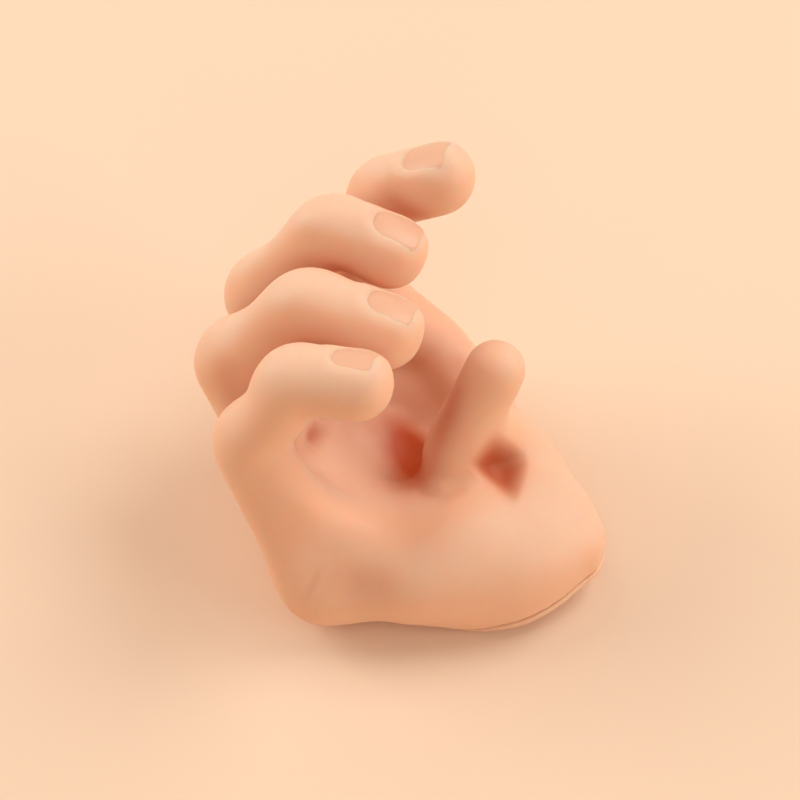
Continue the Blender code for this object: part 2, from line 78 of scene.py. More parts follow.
def in_scene(name, data):
    """A new object of the scene, made of some data."""
    made = bpy.data.objects.new(name, data)
    bpy.context.scene.collection.objects.link(made)
    return made


camera_back = Vector((math.sin(CAMERA_AZIMUTH) * math.cos(CAMERA_ELEVATION),
                      -math.cos(CAMERA_AZIMUTH) * math.cos(CAMERA_ELEVATION),
                      math.sin(CAMERA_ELEVATION)))
camera_place = CAMERA_TARGET + camera_back * CAMERA_DISTANCE
camera_turn = (-camera_back).to_track_quat("-Z", "Y")
camera_data = bpy.data.cameras.new("camera")
camera_data.lens = LENS
camera_data.sensor_width = SENSOR
camera = in_scene("camera", camera_data)
camera.location = camera_place * MM
camera.rotation_mode = "QUATERNION"
camera.rotation_quaternion = camera_turn
bpy.context.scene.camera = camera


def photo_ray(x, y):
    """The direction from the camera through a pixel of the photograph."""
    scale = SENSOR / LENS / FRAME_PIXELS
    middle = FRAME_PIXELS / 2
    return (camera_turn @ Vector(((x - middle) * scale, (middle - y) * scale, -1.0))).normalized()


def photo_pixels(points):
    """The pixels of the photograph that rows of places fall on."""
    seen = (points - np.array(camera_place)) @ np.array(camera_turn.to_matrix())
    return FRAME_PIXELS * (0.5 + LENS / SENSOR * seen[:, :2] * (-1, 1) / seen[:, 2:])


# The hand's form.
# The real hand is one casting of soft silicone, with no seam or joint in it. The bones, the palm's
# sections and the folds are those of the CAD solids, fused here into one much finer skin.
Finger = namedtuple("Finger", "knuckle bones pitch lean breadth root")
FINGERS = {
    "little": Finger(knuckle=(-8.5, -34.0, 10.4), bones=(42.5, 22.5, 14.0), pitch=(65, 117, 172),
                     lean=10.7, breadth=(21.2, 17.6, 16.8, 16.0), root=(26, -20, 12)),
    "ring": Finger(knuckle=(-18.0, -12.4, 12.4), bones=(42.0, 28.0, 18.0), pitch=(61, 131, 190),
                   lean=9.2, breadth=(22.6, 18.8, 17.4, 17.2), root=(30, -13, 12)),
    "middle": Finger(knuckle=(-19.0, 10.7, 11.6), bones=(42.5, 30.5, 13.8), pitch=(61.5, 127, 195),
                     lean=6.1, breadth=(22.8, 17.8, 17.4, 17.2), root=(32, -5, 12)),
    "index": Finger(knuckle=(-9.9, 32.0, 10.8), bones=(33.6, 26.0, 14.7), pitch=(70, 104, 152),
                    lean=5.0, breadth=(22.8, 19.0, 18.0, 17.2), root=(32, 3, 12)),
}
ROOT_SHARE, WAIST, FIRST_WAIST, KNUCKLE_PAD, FIRST_PAD = 0.8, 0.93, 0.92, 1.05, 1.28
BACK_WAIST, BACK_JOINT = 0.86, 1.05
THUMB_ROOT, THUMB_BASE, THUMB_TIP = (28.0, 2.0, 14.0), (12.0, -7.0, 22.0), (20.0, 7.2, 49.2)
THUMB_BREADTH = (16.0, 17.0, 14.0)
THUMB_SIDE = (1.0, -0.2, 0.0)
FLATNESS, BEND, RING_STEP, RING_SIDES, LINE_STEP = 0.94, 5.0, 1.2, 40, 0.25
TIP_ROUND = (2.3, 2.8, 2.0)
TIP_PLACES = (0.25, 0.45, 0.63, 0.78, 0.89, 0.96, 0.995)
PALM_SECTIONS = (            # place along the palm, near edge, far edge, underside, top
    (-12.0, -34.0, 37.0, -0.5, 27.0),
    (-4.0, -40.0, 39.0, -0.7, 28.5),
    (8.0, -40.0, 34.0, -0.7, 29.0),
    (20.0, -36.0, 26.0, -4.0, 29.5),
    (31.0, -30.8, 18.0, -9.0, 27.5),
    (40.0, -25.7, 10.0, -10.0, 24.5),
    (46.0, -19.2, 4.8, -7.0, 21.0),
    (49.8, -12.8, -1.0, -4.0, 18.0),
)
PALM_RELIEF = (              # a hollow and two pads: middle along, across, reach along, across, height
    (0.0, 4.0, 22.0, 25.0, -12.5),
    (22.0, -24.0, 20.0, 13.0, 1.5),
    (24.0, 12.0, 14.0, 10.0, 1.5),
)
PALM_STEP, PALM_SIDES, PALM_SQUARENESS, END_SQUARENESS = 2.0, 64, 2.5, 2.2
HEEL_ROUND, HEEL_PLACES = 2.0, (0.4, 0.7, 0.9, 0.98)
FRONT_ROUND, FRONT_PLACES = 6.0, (0.98, 0.85, 0.6, 0.3)
FOLDS = (                    # the line of each web between two forms, and its radii along it
    (((-14.0, 31.0, 34.4), (0.5, 30.2, 27.0), (15.0, 19.0, 20.5)), (8.5, 7.2, 7.6)),
    (((17.0, 2.0, 36.0), (22.5, 8.0, 25.0), (30.0, 7.0, 18.0)), (8.0, 8.0, 8.0)),
    (((-20.0, -24.5, 32.0), (-8.0, -28.0, 21.5), (10.0, -28.0, 16.5)), (6.5, 9.5, 8.5)),
)
CROOK_FILL = (((-25.0, -14.0, 31.0), (-19.5, -6.8, 28.2), (-15.0, 1.0, 19.5)), (4.2, 4.4, 4.2))
FORM_VOXEL, FORM_PASSES, SOFTENING = 1.0, 8, 0.5


def loft(shape, rings):
    """Adds a closed skin over rings of equal count to a bmesh, with a fan over each end."""
    rows = [[shape.verts.new(Vector(point) * MM) for point in ring] for ring in rings]
    count = len(rows[0])
    for row, following in zip(rows, rows[1:]):
        for k in range(count):
            after = (k + 1) % count
            shape.faces.new((row[k], row[after], following[after], following[k]))
    for row, turned in ((rows[0], True), (rows[-1], False)):
        middle = shape.verts.new(sum((v.co for v in row), Vector()) / count)
        for k in range(count):
            pair = (row[k], row[(k + 1) % count])
            shape.faces.new((middle, *reversed(pair)) if turned else (middle, *pair))


def object_of(name, shape):
    """An object of the scene made of a bmesh, which is freed."""
    mesh = bpy.data.meshes.new(name)
    shape.to_mesh(mesh)
    shape.free()
    return in_scene(name, mesh)


def lofted(name, ring_sets):
    """An object of one closed skin for each set of rings."""
    shape = bmesh.new()
    for rings in ring_sets:
        loft(shape, rings)
    bmesh.ops.recalc_face_normals(shape, faces=shape.faces)
    return object_of(name, shape)


def smooth_step(share):
    """A share held between 0 and 1, and level at both."""
    share = np.clip(share, 0, 1)
    return share * share * (3 - 2 * share)


def eased(knots, values, places):
    """Values between knots that start and end level at each knot."""
    spot = np.clip(np.searchsorted(knots, places, side="right") - 1, 0, len(knots) - 2)
    knots, values = np.asarray(knots, float), np.asarray(values, float)
    share = smooth_step((places - knots[spot]) / (knots[spot + 1] - knots[spot]))
    return values[spot] + (values[spot + 1] - values[spot]) * share


def smooth_through(knots, values, place):
    """A smooth curve through the values, with the slope at each from its two neighbours."""
    slopes = np.gradient(values, knots)
    k = int(np.clip(np.searchsorted(knots, place, side="right") - 1, 0, len(knots) - 2))
    width = knots[k + 1] - knots[k]
    t = (place - knots[k]) / width
    return ((2 * t ** 3 - 3 * t ** 2 + 1) * values[k] + (t ** 3 - 2 * t ** 2 + t) * width * slopes[k]
            + (3 * t ** 2 - 2 * t ** 3) * values[k + 1] + (t ** 3 - t ** 2) * width * slopes[k + 1])


def rounded(share, squareness):
    """How far an end that rounds off has drawn in, at a share of its length."""
    return (1 - share ** squareness) ** (1 / squareness)


def bent_path(corners, step):
    """A line through the corners, bent over 2 * BEND at each, and each point's corner number."""
    corners = [np.asarray(corner, float) for corner in corners]
    points, numbers = [corners[0]], [0.0]
    for number, (start, end) in enumerate(zip(corners, corners[1:])):
        count = max(2, int(np.linalg.norm(end - start) / LINE_STEP))
        for k in range(1, count + 1):
            points.append(start + (end - start) * k / count)
            numbers.append(number + k / count)
    rows = np.column_stack([np.array(points), numbers])
    width = int(BEND / LINE_STEP)
    for _ in range(2):
        before = rows[0] + (rows[0] - rows[1]) * np.arange(width, 0, -1)[:, None]
        beyond = rows[-1] + (rows[-1] - rows[-2]) * np.arange(1, width + 1)[:, None]
        padded = np.vstack([before, rows, beyond])
        sums = np.cumsum(np.vstack([np.zeros(4), padded]), axis=0)
        rows = (sums[width:] - sums[:-width])[width // 2: width // 2 + len(rows)] / width
    steps = np.linalg.norm(np.diff(rows[:, :3], axis=0), axis=1)
    length = np.concatenate([[0], np.cumsum(steps)])
    places = np.linspace(0, length[-1], int(length[-1] / step) + 1)
    even = np.column_stack([np.interp(places, length, rows[:, k]) for k in range(4)])
    return even[:, :3], even[:, 3]


def finger_joints(finger):
    """The knuckle, middle joint, end joint and middle of the tip."""
    lean = math.radians(finger.lean)
    up = np.array([0.0, math.sin(lean), math.cos(lean)])
    side = np.array([0.0, math.cos(lean), -math.sin(lean)])
    open_way = np.array([-1.0, 0.0, 0.0])
    joints = [np.array(finger.knuckle, float)]
    for length, pitch in zip(finger.bones, finger.pitch):
        turn = math.radians(pitch)
        joints.append(joints[-1] + length * (math.sin(turn) * up + math.cos(turn) * open_way))
    return joints, side


def directions(points, side):
    """Direction, side and back of a digit at each point of its middle line."""
    along = np.gradient(points, axis=0)
    along /= np.linalg.norm(along, axis=1)[:, None]
    across = side - along * (along @ side)[:, None]
    across /= np.linalg.norm(across, axis=1)[:, None]
    return along, across, np.cross(along, across)


def digit_sections(points, side, half, back, front):
    """Oval sections along a digit, then a tip that is straighter on the nail side."""
    along, across, outward = directions(points, side)
    angles = np.arange(RING_SIDES) * 2 * math.pi / RING_SIDES
    cosine, sine = np.cos(angles)[:, None], np.sin(angles)[:, None]

    def section(k, middle, wide, high, low):
        return middle + wide * cosine * across[k] + np.where(sine > 0, high, low) * sine * outward[k]

    sections = [section(k, points[k], half[k], back[k], front[k]) for k in range(len(points))]
    for share in TIP_PLACES:
        wide, high, low = [size[-1] * rounded(share, squareness)
                           for size, squareness in zip((half, back, front), TIP_ROUND)]
        sections.append(section(-1, points[-1] + along[-1] * half[-1] * share, wide, high, low))
    return sections


def finger_sections(finger):
    """A finger swells at its joints, most on its back, and narrows between them."""
    joints, side = finger_joints(finger)
    points, numbers = bent_path([finger.root, *joints], RING_STEP)
    knuckle, middle, end, tip = finger.breadth
    knots = (0, 1, 1.5, 2, 2.5, 3, 3.5, 4)
    breadth = (knuckle * ROOT_SHARE, knuckle, FIRST_WAIST * (knuckle + middle) / 2, middle,
               WAIST * (middle + end) / 2, end, WAIST * (end + tip) / 2, tip)
    pad = (knuckle * ROOT_SHARE, knuckle * KNUCKLE_PAD, middle * FIRST_PAD, middle, middle, end, end, tip)
    swell = (1, 1, 1, BACK_JOINT, BACK_WAIST, BACK_JOINT, BACK_JOINT, BACK_JOINT)
    half = eased(knots, breadth, numbers) / 2
    back = half * eased(knots, swell, numbers)
    front = eased(knots, pad, numbers) / 2
    return digit_sections(points, side, half, back * FLATNESS, front * FLATNESS)


def thumb_sections():
    """The thumb stands in the palm as one plain taper, thickest at its base."""
    points, numbers = bent_path([THUMB_ROOT, THUMB_BASE, THUMB_TIP], RING_STEP)
    half = eased((0, 1, 2), THUMB_BREADTH, numbers) / 2
    return digit_sections(points, np.array(THUMB_SIDE), half, half * FLATNESS, half * FLATNESS)


def fold_sections(line, radii):
    """A soft round web along a line, where two forms flow together."""
    points, numbers = bent_path(line, RING_STEP)
    half = eased(range(len(radii)), radii, numbers)
    return digit_sections(points, np.array([0.0, 1.0, 0.0]), half, half, half)


def palm_ring(place, near, far, low, high, scale=1.0):
    """A squarish ring round the palm, with the hollow and the pads on its upper half."""
    angles = np.arange(PALM_SIDES) * 2 * math.pi / PALM_SIDES
    power = 2 / PALM_SQUARENESS
    cosine, sine = np.cos(angles), np.sin(angles)
    y = (near + far) / 2 + scale * (far - near) / 2 * np.sign(cosine) * np.abs(cosine) ** power
    z = (low + high) / 2 + scale * (high - low) / 2 * np.sign(sine) * np.abs(sine) ** power
    for middle, middle_across, reach, reach_across, height in PALM_RELIEF:
        away = ((place - middle) / reach) ** 2 + ((y - middle_across) / reach_across) ** 2
        z += height * np.clip(1 - away, 0, None) ** 2 * np.sqrt(np.clip(sine, 0, None))
    return np.column_stack([np.full(PALM_SIDES, place), y, z])


def palm_sections():
    """Rings from the round front of the palm through its sections to the round heel."""
    table = np.array(PALM_SECTIONS)
    first, last = table[0, 0], table[-1, 0]
    sections = [palm_ring(first - FRONT_ROUND * share, *table[0, 1:], rounded(share, END_SQUARENESS))
                for share in FRONT_PLACES]
    for place in np.linspace(first, last, int((last - first) / PALM_STEP) + 1):
        borders = [smooth_through(table[:, 0], table[:, k], place) for k in range(1, 5)]
        sections.append(palm_ring(place, *borders))
    sections += [palm_ring(last + HEEL_ROUND * share, *table[-1, 1:], rounded(share, END_SQUARENESS))
                 for share in HEEL_PLACES]
    return sections


def fuse(form, voxel):
    """Makes one even skin of all that overlaps."""
    step = form.modifiers.new("Fuse", "REMESH")
    step.mode = "VOXEL"
    step.voxel_size = voxel * MM


def soften(form, passes):
    """Rounds the steps and the sharp inner corners off."""
    step = form.modifiers.new("Soften", "SMOOTH")
    step.factor = SOFTENING
    step.iterations = passes


def boolean(form, operation, other):
    """Cuts another object out of a form, or keeps what lies in both."""
    step = form.modifiers.new(other.name, "BOOLEAN")
    step.operation = operation
    step.solver = "EXACT"
    step.object = other


def finished(form, name):
    """The mesh that an object shows once its modifiers have been worked out; the object goes."""
    bpy.context.view_layer.update()
    seen = form.evaluated_get(bpy.context.evaluated_depsgraph_get())
    mesh = bpy.data.meshes.new_from_object(seen)
    mesh.name = name
    bpy.data.objects.remove(form)
    return mesh


form = lofted("form", [palm_sections(), *map(finger_sections, FINGERS.values()), thumb_sections(),
                       *(fold_sections(line, radii) for line, radii in (*FOLDS, CROOK_FILL))])
fuse(form, FORM_VOXEL)
soften(form, FORM_PASSES)
form_mesh = finished(form, "form")


# The cut under the heel.
# The casting ends on a slanted plane under the heel, and a thin plate of the same outline closes it.
# Both are flat underneath, where the hand rests on the table.
CUT_START, CUT_SLOPE, PLATE_THICKNESS, CLEARANCE = 26.0, math.radians(15.0), 2.0, 0.3
BLOCK = 120.0                # half the width of the blocks that cut
SKIN_VOXEL, SKIN_PASSES = 0.7, 12
PLATE_VOXEL, PLATE_PASSES = 0.4, 8
along_cut = Matrix.Translation((CUT_START * MM, 0, 0)) @ Matrix.Rotation(-CUT_SLOPE, 4, "Y")


def layer(name, low, high, turn):
    """A wide block between two heights, turned as a whole."""
    shape = bmesh.new()
    size = Matrix.Diagonal((2 * BLOCK * MM, 2 * BLOCK * MM, (high - low) * MM, 1.0))
    raised = Matrix.Translation((0, 0, (low + high) / 2 * MM))
    bmesh.ops.create_cube(shape, size=1.0, matrix=turn @ raised @ size)
    return object_of(name, shape)


below_table = layer("below_table", -BLOCK, 0.0, Matrix.Identity(4))
past_skin = layer("past_skin", -BLOCK, PLATE_THICKNESS + CLEARANCE, along_cut)
plate_slab = layer("plate_slab", 0.0, PLATE_THICKNESS, along_cut)
skin = in_scene("skin", form_mesh)
plate = in_scene("plate", form_mesh.copy())
boolean(skin, "DIFFERENCE", below_table)
boolean(skin, "DIFFERENCE", past_skin)
fuse(skin, SKIN_VOXEL)
soften(skin, SKIN_PASSES)
skin_mesh = finished(skin, "skin_cast")
boolean(plate, "INTERSECT", plate_slab)
boolean(plate, "DIFFERENCE", below_table)
fuse(plate, PLATE_VOXEL)
soften(plate, PLATE_PASSES)
plate_mesh = finished(plate, "heel_plate")
for cutter in (below_table, past_skin, plate_slab):
    bpy.data.objects.remove(cutter)


# Calm places.
# Where several forms meet, in the crook under the little finger and at the front of the palm, the
# casting is one soft hollow. Each place is a pixel, with its reach and how often it is smoothed.
Calm = namedtuple("Calm", "pixel reach passes")
CALM_PLACES = (
    Calm((312, 446), 13.0, 300),
    Calm((326, 438), 8.0, 160),
    Calm((302, 462), 9.0, 160),
    Calm((352, 585), 17.0, 260),
    Calm((330, 545), 15.0, 160),
    Calm((372, 470), 14.0, 160),
    Calm((400, 500), 12.0, 160),
    Calm((505, 430), 8.0, 60),
)
CALM_PULL, CALM_BORDER = 0.5, 1.2


def places(mesh):
    """Where each point of a mesh is, in millimetres."""
    rows = np.empty(len(mesh.vertices) * 3)
    mesh.vertices.foreach_get("co", rows)
    return rows.reshape(-1, 3) / MM


def normals(mesh):
    """The way that each point of a mesh faces."""
    rows = np.empty(len(mesh.vertices) * 3, np.float32)
    mesh.vertex_normals.foreach_get("vector", rows)
    return rows.reshape(-1, 3).astype(float)


def put_places(mesh, rows):
    """Moves each point of a mesh to its place, in millimetres."""
    mesh.vertices.foreach_set("co", (rows * MM).ravel())
    mesh.update()


def search_tree(mesh):
    """A tree of a mesh's faces, in millimetres, that finds what a ray hits."""
    return BVHTree.FromPolygons([v.co / MM for v in mesh.vertices],
                                [face.vertices[:] for face in mesh.polygons])


def edge_ends(mesh):
    """The numbers of the two points that each edge of a mesh joins."""
    ends = np.empty(2 * len(mesh.edges), np.int32)
    mesh.edges.foreach_get("vertices", ends)
    return ends.reshape(-1, 2)


def neighbours_by(ends, count):
    """Every edge told from both of its ends, and how many neighbours each point has."""
    both_ways = np.vstack([ends, ends[:, ::-1]])
    return both_ways, np.maximum(np.bincount(both_ways[:, 0], minlength=count), 1)


skin_places = places(skin_mesh)
skin_normals = normals(skin_mesh)
skin_tree = search_tree(skin_mesh)
skin_edges = edge_ends(skin_mesh)


def under_pixel(x, y):
    """The place of the skin under a pixel of the photograph, and its normal."""
    point, normal, _, _ = skin_tree.ray_cast(camera_place, photo_ray(x, y))
    return point, normal


def calm_down(place, reach, passes):
    """Smooths the skin round a place, less towards the end of its reach."""
    away = np.linalg.norm(skin_places - np.array(under_pixel(*place)[0]), axis=1)
    share = np.clip(1 - (away / reach) ** 2, 0, 1)
    chosen = np.where(away < reach * CALM_BORDER)[0]
    number = np.full(len(skin_places), -1)
    number[chosen] = np.arange(len(chosen))
    pairs = number[skin_edges]
    both_ways, neighbours = neighbours_by(pairs[(pairs >= 0).all(axis=1)], len(chosen))
    near, share = skin_places[chosen], share[chosen, None]
    for _ in range(passes):
        sums = [np.bincount(both_ways[:, 0], near[both_ways[:, 1], k], len(chosen)) for k in range(3)]
        mean = np.column_stack(sums) / neighbours[:, None]
        near += (mean - near) * share * CALM_PULL
    skin_places[chosen] = near


def look_again():
    """Takes up the normals and the search tree of the skin as it is now."""
    global skin_normals, skin_tree
    put_places(skin_mesh, skin_places)
    skin_normals = normals(skin_mesh)
    skin_tree = search_tree(skin_mesh)


for calm in CALM_PLACES:
    calm_down(*calm)
look_again()


# The pit beside the thumb.
# A leaf-shaped pit in the palm of the casting, with its corners at four pixels and soft slopes for
# walls. It is sunk along the palm's own normal, and a deep orange painted shade is laid in it.
PIT_CORNERS = ((494, 427), (533, 456), (517, 511), (461, 465))
PIT_DEPTH, PIT_WALL, PIT_ROUNDING, PIT_REACH = 3.4, 22.0, 0.26, 15.0
PIT_SHADE, PIT_SHADE_EDGE = 0.86, 14.0
PIT_LEAST_FACING = 0.1

glow = np.zeros(len(skin_places))
corners = np.array(PIT_CORNERS, float)
point, normal = under_pixel(*corners.mean(axis=0))
near = np.where((np.linalg.norm(skin_places - np.array(point), axis=1) < PIT_REACH)
                & (skin_normals @ np.array(camera_back) > PIT_LEAST_FACING))[0]
pixels = photo_pixels(skin_places[near])
within = []
for start, end in zip(corners, np.roll(corners, -1, axis=0)):
    side = (end - start) / np.linalg.norm(end - start)
    within.append((pixels - start) @ np.array([-side[1], side[0]]))
inside = -np.log(np.exp(-PIT_ROUNDING * np.array(within)).sum(axis=0)) / PIT_ROUNDING
skin_places[near] -= (smooth_step(inside / PIT_WALL) * PIT_DEPTH)[:, None] * np.array(normal)
# Painted shade: the pit turns deep orange inwards from its edge.
glow[near] += np.clip(inside / PIT_SHADE_EDGE, 0, 1) * PIT_SHADE
look_again()


# Creases, swellings and painted shade.
# The casting keeps the creases and knuckles of the hand that it was taken from. Each stroke is a line
# of pixels laid onto the skin, with its reach, its height (a crease's is below zero) and the painted
# deep shade it lays there: dark orange in creases, under the fingers and down the thumb's shaded flank.
Stroke = namedtuple("Stroke", "pixels reach height glow")
STROKES = (
    Stroke(((244, 275), (268, 255), (294, 228)), 5.0, 1.0, 0.0),
    Stroke(((228, 328), (257, 309), (284, 292)), 5.0, 0.7, 0.0),
    Stroke(((203, 352), (206, 375), (212, 398)), 5.5, -1.0, 0.0),
    # painted shade in the deep crease along the thumb's left edge
    Stroke(((396, 408), (403, 428), (412, 452), (411, 472)), 6.5, -2.6, 0.6),
    Stroke(((404, 424), (411, 448), (413, 472)), 5.5, -0.5, 1.0),
    # painted shade under the middle finger, over the little finger and on the ring finger's flank
    Stroke(((258, 277), (280, 267), (300, 262), (345, 265), (385, 277)), 3.0, 0.0, 0.24),
    Stroke(((245, 340), (270, 335), (300, 333), (350, 335)), 3.0, 0.0, 0.2),
    Stroke(((222, 372), (226, 388), (230, 402)), 4.0, 0.0, 0.24),
    Stroke(((411, 470), (424, 492), (441, 495), (457, 488), (468, 478)), 1.8, -0.9, 0.15),
    # a small pocket in the crook, with painted shade in it
    Stroke(((325, 427), (319, 430), (313, 437), (310, 443)), 2.0, -1.5, 0.75),
    # painted shade down the thumb's left flank, the side away from the light
    Stroke(((465, 362), (455, 394), (445, 422), (434, 450), (428, 468)), 3.6, 0.0, 0.62),
    # painted shade under the index finger
    Stroke(((388, 199), (405, 210), (420, 216)), 3.2, 0.0, 0.5),
    Stroke(((274, 479), (286, 471), (299, 464), (309, 455)), 2.2, 0.5, 0.0),
    Stroke(((275, 480), (294, 490), (316, 503), (348, 523), (380, 538)), 4.5, 0.9, 0.0),
    # folds at the little finger's knuckle, with a little painted shade in them
    Stroke(((283, 505), (300, 530), (322, 556), (340, 572)), 6.0, -0.8, 0.1),
    Stroke(((318, 571), (311, 585), (303, 600)), 1.1, -0.4, 0.1),
    Stroke(((335, 571), (324, 586), (312, 604)), 1.5, -0.25, 0.05),
    Stroke(((327, 571), (318, 585), (307, 603)), 1.3, 0.15, 0.0),
    Stroke(((297, 547), (305, 546)), 0.7, -0.25, 0.08),
    Stroke(((358, 590), (374, 592)), 5.0, -1.1, 0.16),
    Stroke(((300, 226), (309, 220)), 3.2, 0.35, 0.0),
    Stroke(((292, 303), (301, 297)), 3.2, 0.35, 0.0),
    Stroke(((249, 385), (256, 376)), 3.2, 0.25, 0.0),
    Stroke(((459, 167), (464, 176)), 2.8, 0.25, 0.0),
)
STROKE_STEP = 1.5            # pixels between two points of a stroke
STROKE_END, STROKE_BORDER, FULL_FACING = 0.12, 3, 0.5


def laid_on_skin(pixels):
    """Points of the skin under a line of pixels, how far along the line each is, and their normals."""
    pixels = np.array(pixels, float)
    length = np.concatenate([[0], np.cumsum(np.linalg.norm(np.diff(pixels, axis=0), axis=1))])
    rows = []
    for place in np.linspace(0, length[-1], max(3, int(length[-1] / STROKE_STEP))):
        x, y = (np.interp(place, length, pixels[:, k]) for k in range(2))
        point, normal = under_pixel(x, y)
        if point:
            rows.append((*point, place / length[-1], *normal))
    return np.array(rows)


def press(line, share, facing, reach, height):
    """Moves the skin along its normal beside a line; a line longer than its reach fades at its ends."""
    border = np.ptp(line, axis=0).max() / 2 + STROKE_BORDER * reach
    near = np.where(np.abs(skin_places - line.mean(axis=0)).max(axis=1) < border)[0]
    apart = np.linalg.norm(skin_places[near, None] - line[None], axis=2)
    closest = apart.argmin(axis=1)
    fade = np.clip(np.linalg.norm(line[-1] - line[0]) / (2 * reach) - 1, 0, 1)
    run = STROKE_END + (1 - 2 * STROKE_END) * share[closest]
    power = 1 - fade * (1 - np.sin(np.pi * run))
    power *= np.exp(-(apart.min(axis=1) / reach) ** 2)
    power *= np.clip((skin_normals[near] * facing[closest]).sum(axis=1) / FULL_FACING, 0, 1)
    skin_places[near] += (power * height)[:, None] * skin_normals[near]
    return near, power


for stroke in STROKES:
    laid = laid_on_skin(stroke.pixels)
    near, power = press(laid[:, :3], laid[:, 3], laid[:, 4:], stroke.reach, stroke.height)
    glow[near] += power * stroke.glow


# Fine lines on the backs of the fingers.
# The mould copied the faint lines of the skin across each finger, on both sides of its middle joint.
# Each is a shallow groove that goes part of the way round, a little wavy and a little aslant.
FINE_PLACES = (1.84, 1.9, 1.96, 2.03, 2.1, 2.17, 2.24, 2.32, 2.4, 2.49)    # 2 is the middle joint
FINE_REACH, FINE_DEPTH = 0.45, 0.09
FINE_SPREAD, FINE_SHORT_SIDE = 0.9, 0.8
FINE_WAVE, FINE_WAVE_STEP, FINE_SLANT = 0.12, 2.4, 6.0
FINE_PATH_STEP, FINE_POINTS, FINE_LEAST_POINTS = 0.4, 24, 5
OVER_FINGER = 25.0           # rays start this far out from the finger's middle line

for finger in FINGERS.values():
    joints, side = finger_joints(finger)
    points, numbers = bent_path([finger.root, *joints], FINE_PATH_STEP)
    along, across, outward = directions(points, side)
    for number, place in enumerate(FINE_PLACES):
        k = int(np.searchsorted(numbers, place))
        wave = FINE_WAVE * math.sin(FINE_WAVE_STEP * number)
        turns = np.linspace(-FINE_SPREAD, FINE_SPREAD * FINE_SHORT_SIDE, FINE_POINTS) + wave
        line, facing = [], []
        for way in np.cos(turns)[:, None] * outward[k] + np.sin(turns)[:, None] * across[k]:
            start = Vector(points[k] + way * OVER_FINGER + along[k] * wave * FINE_SLANT)
            point, normal, _, _ = skin_tree.ray_cast(start, Vector(-way), OVER_FINGER)
            if point:
                line.append(point)
                facing.append(normal)
        if len(line) >= FINE_LEAST_POINTS:
            share = np.linspace(0, 1, len(line))
            press(np.array(line), share, np.array(facing), FINE_REACH, -FINE_DEPTH)


# Beds of the nails.
# Each nail is a stiff plate set in a bed of the soft skin, which follows the round of the fingertip.
# A wide fold of skin covers its root and sides, and a raised rim lies past its free edge.
NAIL_LENGTH = {"little": 10.5, "ring": 12.0, "middle": 12.5, "index": 12.0, "thumb": 11.0}
NAIL_ROLL = {"little": 9, "ring": 8, "middle": 5, "index": -3, "thumb": 0}
NAIL_BREADTH_SHARE, NAIL_SINK, NAIL_BACK, NAIL_THICKNESS = 0.62, 0.62, 0.8, 0.8
NAIL_ROOT, NAIL_FREE_EDGE = 2.4, 4.5
NAIL_ALONG_ROUND, NAIL_ACROSS_ROUND = 26.0, 1.15
LEAST_SHARE = 1e-3
BED_DEPTH, BED_EDGE, BED_OVERLAP, BED_COVER = 0.5, 1.1, 0.2, 0.7
NEAR_ALONG, NEAR_ACROSS, NEAR_ABOVE = 14.0, 11.0, 4.0
NEAR_BELOW_SHARE = 0.42      # of the finger's breadth
NAIL_FOLD_PLACE, NAIL_FOLD_WIDTH, NAIL_FOLD_HEIGHT = 1.3, 1.7, 0.5
RIM_PLACE, RIM_WIDTH, RIM_HEIGHT = 1.8, 1.2, 0.35
NailFrame = namedtuple("NailFrame", "middle along side out breadth half_length half_breadth")


def nail_frame(digit):
    """Where a digit's nail lies, which way it faces, and its sizes."""
    if digit == "thumb":
        corners = [np.array(THUMB_BASE), np.array(THUMB_TIP)]
        side, breadth, swell = np.array(THUMB_SIDE), THUMB_BREADTH[-1], 1.0
    else:
        corners, side = finger_joints(FINGERS[digit])
        breadth, swell = FINGERS[digit].breadth[-1], BACK_JOINT
    along = corners[-1] - corners[-2]
    along /= np.linalg.norm(along)
    side = side - along * (along @ side)
    side /= np.linalg.norm(side)
    out = np.cross(along, side)
    roll = math.radians(NAIL_ROLL[digit])
    side, out = (side * math.cos(roll) - out * math.sin(roll),
                 out * math.cos(roll) + side * math.sin(roll))
    middle = corners[-1] - along * NAIL_BACK + out * (breadth / 2 * FLATNESS * swell - NAIL_SINK)
    return NailFrame(middle, along, side, out, breadth,
                     NAIL_LENGTH[digit] / 2, breadth * NAIL_BREADTH_SHARE / 2)


def nail_margin(nail, along, across):
    """How far a place lies outside the plate's outline, roughly in millimetres."""
    power = np.where(along > 0, NAIL_FREE_EDGE, NAIL_ROOT)
    share = (np.abs(along / nail.half_length) ** power
             + np.abs(across / nail.half_breadth) ** power) ** (1 / power)
    reach = np.hypot(along, across)
    return reach - reach / np.maximum(share, LEAST_SHARE)


def bump_round(margin, place, width, height):
    """A rounded swelling that follows the outline at a margin."""
    return np.exp(-((margin - place) / width) ** 2) * height


for digit in NAIL_LENGTH:
    nail = nail_frame(digit)
    away = skin_places - nail.middle
    along, across, above = away @ nail.along, away @ nail.side, away @ nail.out
    near = ((np.abs(along) < NEAR_ALONG) & (np.abs(across) < NEAR_ACROSS)
            & (above > -nail.breadth * NEAR_BELOW_SHARE) & (above < NEAR_ABOVE))
    margin = nail_margin(nail, along, across)
    top = -(across ** 2 / (nail.breadth * NAIL_ACROSS_ROUND) + along ** 2 / (2 * NAIL_ALONG_ROUND))
    ahead = np.clip(along / nail.half_length, 0, 1) ** 3
    bed = smooth_step((BED_OVERLAP - BED_COVER * (1 - ahead) - margin) / BED_EDGE)
    move = bed * (top - BED_DEPTH - above)
    move += bump_round(margin, NAIL_FOLD_PLACE, NAIL_FOLD_WIDTH, NAIL_FOLD_HEIGHT) * (1 - ahead)
    move += bump_round(margin, RIM_PLACE, RIM_WIDTH, RIM_HEIGHT) * ahead
    skin_places += np.where(near, move, 0.0)[:, None] * nail.out
put_places(skin_mesh, skin_places)
